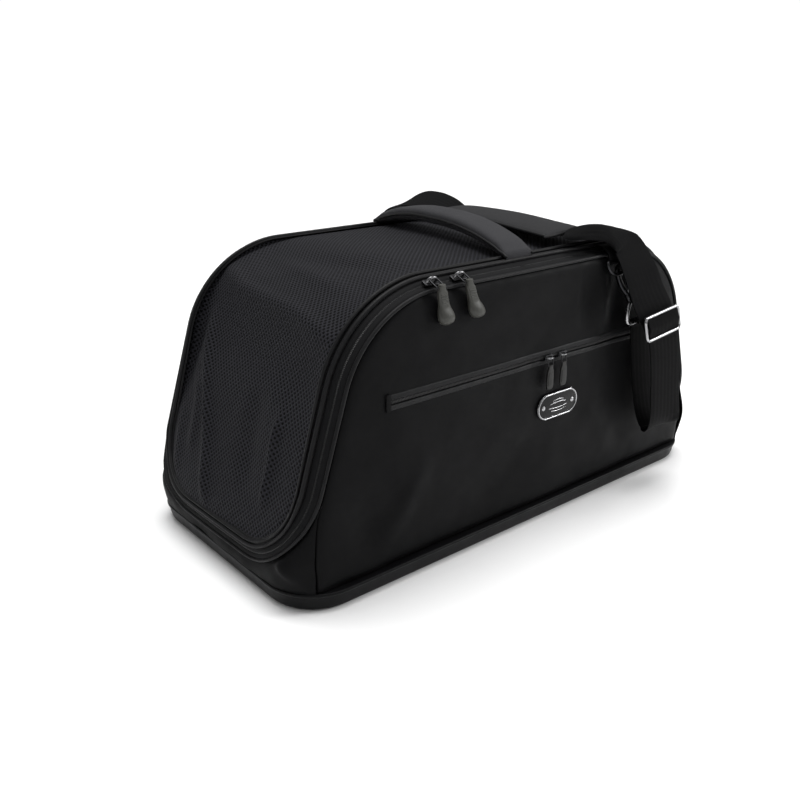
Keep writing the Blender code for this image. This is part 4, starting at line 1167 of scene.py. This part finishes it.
def handle_section(y):
    """The handle's padded section at y, its half width and its middle's height."""
    share = min(abs(y) / HANDLE_END_Y, 1.0)
    thick = (14.5 - 1.5 * share**3) * MM
    past = max(abs(y) - HANDLE_END_Y, 0.0)
    top = handle_top(min(abs(y), HANDLE_END_Y)) - past * 0.62 - 0.3 * MM
    thick *= 1 - 0.5 * smooth(past / (12 * MM))
    half = HANDLE_HALF * (1 - 0.04 * share)
    row = []
    for k in range(28):
        x, z = boxy(2 * math.pi * k / 28, 0.55, 0.62)
        row.append(Vector((handle_x(y) + x * half, y, top - thick / 2 + z * thick / 2)))
    return row, half, top - thick / 2


def make_handle():
    for label, front in (("front", -1), ("back", 1)):
        rows, left, right = [], [], []
        for i in range(41):
            y = front * 117 * MM * (1 - i / 40)
            row, half, middle = handle_section(y)
            wave = 0.35 * MM * ripple(y, front, 0.0, 25 * MM)
            rows.append([p + Vector((0, 0, wave)) for p in row])
            left.append(Vector((handle_x(y) - half + 0.2 * MM, y, middle + wave)))
            right.append(Vector((handle_x(y) + half - 0.2 * MM, y, middle + wave)))
        # The grip's cloth is the pad's cloth made brighter: painted light.
        grip = grid(f"handle_{label}_half", rows, LIT_GRIP_CLOTH, close_columns=True, caps=True, sharp=70.0)
        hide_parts("handle_grip", f"{label}_handle_anchor")
        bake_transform(grip)
        for which, line in (("left", left), ("right", right)):
            cord = rod(f"handle_{label}_{which}_piping", line, 1.5 * MM, PIPING, 10, per=1)
            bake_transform(cord)


# ---- Shoulder strap ----

# Stations of the shoulder pad, in millimetres: y, x, z, and the share of its full thickness.
PAD_STATIONS = (
    (-102, 64, 279.2, 0.5), (-98, 64.5, 279.3, 0.86), (-90, 66.5, 279.6, 1.0), (-60, 71, 280.3, 1.0),
    (-30, 76, 281, 1.0), (0, 79, 281.5, 1.0), (30, 79, 281.6, 1.0), (57, 77.5, 281.4, 1.0),
    (67, 76.5, 281.2, 0.86), (71, 76, 281, 0.5),
)
# The webbing's routes: x, y, z of its middle in millimetres, its width's direction, and the share of
# its width that is laid open.
FRONT_ROUTE = (
    (64, -104.2, 279.5, 1.0, 0.0, 0.0, 1.0), (70, -111.5, 280.3, 0.93, 0.37, 0.0, 0.75),
    (83, -118, 281.3, 0.75, 0.66, 0.05, 0.6), (98, -122, 280, 0.8, 0.58, 0.12, 0.7),
    (110, -128, 275, 0.92, 0.35, 0.12, 0.9), (118, -137, 267.5, 0.99, 0.12, 0.1, 1.0),
    (120, -146, 255.5, 1.0, 0.05, 0.08, 1.0), (122, -152.5, 243, 1.0, 0.0, 0.08, 1.0),
    (126, -156.5, 230, 1.0, 0.0, 0.1, 1.0), (133, -159.5, 214, 1.0, 0.0, 0.1, 1.0),
    (143.5, -162.8, 197, 1.0, 0.0, 0.1, 1.0), (152.5, -166.5, 178, 1.0, 0.0, 0.06, 1.0),
    (158.5, -168.5, 150, 1.0, 0.0, 0.0, 1.0),
    (163, -169, 118, 1.0, 0.0, -0.04, 1.0), (168, -168.5, 88, 1.0, 0.0, -0.08, 1.0),
    (172.5, -164.5, 72.5, 1.0, 0.0, -0.08, 1.0), (175, -158, 67.5, 1.0, 0.0, -0.08, 1.0),
    (174, -151.5, 73, 1.0, 0.0, -0.08, 1.0), (169.5, -147.6, 91, 1.0, 0.0, -0.06, 1.0),
    (163, -146, 120, 1.0, 0.0, -0.03, 1.0), (156, -146, 152, 1.0, 0.0, 0.0, 1.0),
    (149.5, -147, 184, 1.0, 0.0, 0.0, 1.0),
)
REAR_ROUTE = (
    (76, 73, 281, 1.0, 0.0, 0.0, 1.0), (75, 88, 285.5, 0.97, 0.14, 0.16, 1.0),
    (70, 101, 288.5, 0.93, 0.3, 0.24, 1.0), (62, 114, 289, 0.89, 0.42, 0.2, 1.0),
    (54, 127, 284, 0.87, 0.45, 0.04, 1.0),
    (47, 138, 271.5, 0.87, 0.42, -0.24, 1.0), (42, 146.5, 251, 0.87, 0.42, -0.26, 1.0),
    (37, 154, 224, 0.8, 0.55, -0.26, 1.0), (28, 161.5, 196, 0.56, 0.8, -0.2, 1.0),
    (11, 167, 169, 0.2, 0.97, 0.09, 1.0), (-14, 169.5, 149, -0.05, 0.94, 0.33, 1.0),
    (-46, 170, 138, -0.08, 0.88, 0.46, 1.0), (-78, 169, 138, -0.05, 0.9, 0.43, 1.0),
    (-106, 166, 143, -0.15, 0.96, 0.2, 1.0), (-126, 161, 153, -0.44, 0.88, -0.19, 1.0),
    (-139, 154.5, 163, -0.82, 0.42, -0.38, 1.0), (-143, 149.5, 172.5, -0.98, 0.06, -0.17, 1.0),
    (-144.5, 147, 184, -1.0, 0.0, 0.0, 1.0),
)
WEB_HALF, WEB_THICK = 25 * MM, 1.6 * MM


def ribbon(name, route):
    """Flat webbing along a route; where it isn't laid open its width curls into a shallow channel."""
    path = spline_through(route, 6)
    centers = [Vector(p[:3]) * MM for p in path]
    along = running(centers)
    rows, weave = [], []
    for i, p in enumerate(path):
        before, after = centers[max(i - 1, 0)], centers[min(i + 1, len(path) - 1)]
        tangent = (after - before).normalized()
        wide = Vector(p[3:6])
        wide = (wide - tangent * wide.dot(tangent)).normalized()
        normal = tangent.cross(wide)
        share = min(p[6], 1.0)
        curl = math.sqrt(max(1 - share**2, 0.0)) * 0.8
        top, under = [], []
        for c in range(13):
            s = -1 + 2 * c / 12
            drop = curl * WEB_HALF * (s * s - 0.5) * 0.7
            middle = centers[i] + wide * (WEB_HALF * share * s) - normal * drop
            thick = WEB_THICK / 2 * (0.55 if abs(s) == 1 else 1.0)
            top.append((middle + normal * thick, WEB_HALF * s))
            under.append((middle - normal * thick, WEB_HALF * s))
        ring = top + under[::-1]
        rows.append([q for q, _ in ring])
        weave += [(a, along[i]) for _, a in ring]
    return grid(name, rows, WEB, close_columns=True, caps=True, weave=weave, sharp=60.0)


def make_pad():
    """The strap's shoulder pad: a crowned pad with bound edges and the webbing sewn under its ends."""
    rows, edge_left, edge_right = [], [], []
    right = Vector((1, 0.08, 0)).normalized()
    for y, x, z, share in spline_through(PAD_STATIONS, 5):
        half = 30 * MM * (0.8 + 0.2 * share)
        thick = 4.5 * MM * share
        center = mm(x, y, z)
        row = []
        for k in range(32):
            px, pz = boxy(2 * math.pi * k / 32, 0.6, 0.7)
            px *= half - 0.8 * MM
            pz *= thick * (1 - 0.35 * (px / half) ** 2)
            pz += 0.3 * MM * ripple(px, y * MM, 3.0, 18 * MM) * share
            row.append(center + right * px + Vector((0, 0, pz)))
        rows.append(row)
        edge_left.append(center - right * half)
        edge_right.append(center + right * half)
    pad = grid("shoulder_pad_cloth", rows, STRETCH, close_columns=True, caps=True, sharp=75.0)
    done(pad, "padding", "shell", "shoulder_pad")
    loop = edge_left + edge_right[::-1]
    binding = rod("shoulder_pad_binding", loop[::2], 1.7 * MM, PIPING, 10, closed=True, per=2)
    done(binding, "padding", "shell")


def round_the_eye(route, front):
    """The route's end, carried up and over the bar of its swivel eye and down behind it."""
    x, wide = route[-1][0], route[-1][3]
    bar_y, bar_z, radius = 147.5, 188.6, 3.1
    over = []
    for k in range(5):
        a = math.pi * k / 4
        over.append((front * (bar_y + radius * math.cos(a)), bar_z + radius * math.sin(a)))
    over.append((front * (bar_y - radius), bar_z - 5.1))
    return (*route, *((x, y, z, wide, 0.0, 0.0, 1.0) for y, z in over))


def make_strap():
    front, rear = round_the_eye(FRONT_ROUTE, -1), round_the_eye(REAR_ROUTE, 1)
    done(ribbon("strap_front_webbing", front), "webbing", "shell", "strap_front")
    done(ribbon("strap_rear_webbing", rear), "webbing", "shell", "strap_rear")
    make_pad()


def make_adjuster():
    """A plated frame with a middle bar, and the webbing that wraps the bar."""
    turn = Matrix.Rotation(-math.radians(6), 4, "Y") @ Matrix.Rotation(math.pi / 2 - math.radians(9), 4, "X")
    place = Matrix.Translation(mm(146.5, -168.8, 188)) @ turn
    half_l, half_h = 27.4 * MM, 11.8 * MM
    ring = [place @ Vector((x, y, 0)) for x, y in rounded_box(half_l, half_h, 4.5 * MM, 5)]
    item = rod("adjuster_frame", ring, 1.55 * MM, NICKEL, 12, closed=True, per=2)
    done(item, "nickel", "strap_adjuster", "strap_adjuster")
    bar = [place @ Vector((x * MM, 0, 0)) for x in (-27, -9, 9, 27)]
    done(rod("adjuster_bar", bar, 1.5 * MM, NICKEL, 10), "nickel", "strap_adjuster")
    rows, weave = [], []
    profile = ((-11.2, -1.2), (-9.5, 0.1), (-6, 1.3), (-2.5, 2.3), (0, 2.6), (2.5, 2.3), (6, 1.3),
               (9.5, 0.1), (11.2, -1.2))
    for k in range(25):
        x = WEB_HALF * (-1 + 2 * k / 24)
        row = []
        for y, z in spline_through(profile, 3):
            row.append(place @ Vector((x, y * MM, z * MM)))
            weave.append((x, y * MM))
        rows.append(row)
    wrap = grid("adjuster_webbing_wrap", rows, WEB, weave=weave, flip=lambda p: Vector((0, -1, 0)))
    thicken(wrap, 1.5 * MM)
    done(wrap, "webbing", "strap_adjuster")


def make_clip(label, front):
    """Ring tab, ring, hook, gate, swivel and strap eye; the back's are the front's, turned half round."""

    def turned(points):
        return [mm(x * -front, y * -front, z) for x, y, z in points]

    def wire(name, points, radius, look, sides, slot, body="shell", node=None, **how):
        item = rod(f"{label}_{name}", turned(points), radius, look, sides, **how)
        done(item, slot, body, *([f"{label}_{node}"] if node else []))

    tab_line = ((120.2, 265.6), (124, 266.2), (128.5, 265.8), (133, 264.0), (136.6, 260.4), (138.0, 254.6),
                (139.6, 250.9), (141.2, 252.6))
    rows, weave = [], []
    for s, (y, z) in enumerate(spline_through(tab_line, 3)):
        across = [90.5 + 25 * k / 8 for k in range(9)]
        rows.append(turned([(x, -y, z) for x in across]))
        weave += [(x * MM, s * 1.4 * MM) for x in across]
    tab = grid(f"{label}_ring_webbing", rows, WEB, weave=weave, flip=lambda p: Vector((0, front, 0.5)))
    thicken(tab, 1.5 * MM, 0.0)
    done(tab, "webbing", "shell", f"{label}_ring_tab")

    bow = [(x, -138.4, 252) for x in (89.5, 96, 110, 116.5)]
    for i in range(7):
        angle = math.pi * i / 6
        reach = math.sin(angle)
        bow.append((103 + 14.5 * math.cos(angle), -139.4 - 2.5 * reach, 250 - 10 * reach))
    wire("ring_loop", bow, 1.9 * MM, BLACK_METAL, 12, "nickel", node="d_ring", closed=True, per=4)

    hook = (
        (121, -141.5, 217), (116, -138.6, 223.5), (111, -137.6, 231.5), (107, -137.4, 239.5),
        (104.6, -138.5, 245.5), (104, -141.5, 248.3), (104.6, -144.8, 247.2), (106.4, -146.2, 243.6),
        (108, -146.4, 240),
    )
    radii = (3.2 * MM, 2.8 * MM, 2.4 * MM, 2.3 * MM, 2.2 * MM, 1.8 * MM)
    wire("hook_body", hook, radii, BLACK_METAL, 14, "black_metal", node="snap_hook")
    swivel = ((122.4, -143.6, 211.2), (121.6, -142.6, 214.4), (120.8, -141.4, 217.4))
    wire("swivel_barrel", swivel, (3.6 * MM, 3.9 * MM, 3.3 * MM), BLACK_METAL, 16, "nickel")

    gate = ((109, -146.3, 237.2), (112.2, -145.6, 231.9), (115.4, -144.9, 226.7), (118.6, -144.2, 221.4))
    wire("gate_rod", gate, 1.6 * MM, NICKEL, 12, "nickel", f"{label}_snap_gate", "snap_gate")

    eye = (
        (118, -147.5, 188.6), (134, -147.5, 188.6), (156, -147.5, 188.6), (173, -147.5, 188.8),
        (175, -147.3, 193.5), (167, -147, 201), (147, -146.6, 207.2), (129, -146, 210.8), (120, -146, 208.6),
        (116.2, -146.8, 199),
    )
    wire("eye_loop", eye, 2.1 * MM, NICKEL, 12, "nickel", node="strap_eye", closed=True, per=5)


# ---- CAD nodes that stay, and the stage ----


def dress_frame():
    looks = {
        "base_board": BOARD, "pocket_bag": LINING, "front_liner_board": FOAM, "back_liner_board": FOAM,
        "front_frame_hoop": STEEL, "back_frame_hoop": STEEL,
    }
    for name, look in looks.items():
        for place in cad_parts[name].material_slots:
            place.material = look


def make_stage():
    data = bpy.data.meshes.new("floor")
    reach = 30.0
    corners = [(x * reach, y * reach, 0) for x, y in ((-1, -1), (1, -1), (1, 1), (-1, 1))]
    data.from_pydata(corners, [], [(0, 1, 2, 3)])
    look = Look("floor_white", (0.93, 0.93, 0.93), 0.6, Specular_IOR_Level=0.2)
    look.tint(look.noise(3.0), (0.925, 0.925, 0.925), (0.935, 0.935, 0.935))
    floor = add_object("floor", data, look.material)
    floor.location.z = -0.2 * MM

    world = bpy.data.worlds.new("studio")
    bpy.context.scene.world = world
    world.use_nodes = True
    tree = world.node_tree
    coordinates = tree.nodes.new("ShaderNodeTexCoord")
    parts = tree.nodes.new("ShaderNodeSeparateXYZ")
    ramp = tree.nodes.new("ShaderNodeMapRange")
    tree.links.new(coordinates.outputs["Generated"], parts.inputs[0])
    tree.links.new(parts.outputs[2], ramp.inputs["Value"])
    for key, number in (("From Min", 0.05), ("From Max", 0.75), ("To Min", 0.09), ("To Max", 0.55)):
        ramp.inputs[key].default_value = number
    seen = tree.nodes.new("ShaderNodeLightPath")
    pick = tree.nodes.new("ShaderNodeMix")
    tree.links.new(seen.outputs["Is Camera Ray"], pick.inputs["Factor"])
    tree.links.new(ramp.outputs["Result"], pick.inputs[2])
    pick.inputs[3].default_value = 1.02
    tree.links.new(pick.outputs[0], tree.nodes["Background"].inputs["Strength"])
    tree.nodes["Background"].inputs["Color"].default_value = (1, 1, 1, 1)
    bpy.context.scene.view_settings.view_transform = "Standard"

    def lamp(name, kind, energy, location, target, **settings):
        light = bpy.data.lights.new(name, kind)
        light.energy = energy
        for key, value in settings.items():
            setattr(light, key, value)
        item = bpy.data.objects.new(name, light)
        bpy.context.scene.collection.objects.link(item)
        item.location = location
        item.rotation_euler = (Vector(target) - Vector(location)).to_track_quat("-Z", "Y").to_euler()

    lamp("sky_panel", "SUN", 2.8, (0.3, 0.35, 2.45), (0, 0, 0), angle=math.radians(42))
    lamp("side_box", "AREA", 24, (1.7, -1.3, 1.15), (0, 0, 0.12), size=0.6)


def make_camera():
    """The camera that the photo was fitted with: its heading, its drop, its lens and its place."""
    a, e = math.radians(-39.747), math.radians(20.782)
    back = Vector((math.sin(a) * math.cos(e), -math.cos(a) * math.cos(e), math.sin(e)))
    right = Vector((math.cos(a), math.sin(a), 0))
    turn = Matrix((right, right.cross(-back), back)).transposed().to_4x4()
    camera = bpy.data.cameras.new("camera")
    camera.lens, camera.sensor_width = 39.15, 36.0
    camera.clip_start, camera.clip_end = 0.01, 100
    item = bpy.data.objects.new("camera", camera)
    bpy.context.scene.collection.objects.link(item)
    item.matrix_world = Matrix.Translation((-0.6004, -0.6519, 0.4274)) @ turn
    bpy.context.scene.camera = item


make_camera()
make_stage()
dress_frame()
make_tray()
make_bedding()
for make in (make_panel, make_gusset, make_mesh):
    make(-1)
    make(1)
make_band()
make_main_zip()
make_pocket()
make_badge()
make_handle()
make_strap()
make_adjuster()
make_clip("front", -1)
make_clip("back", 1)
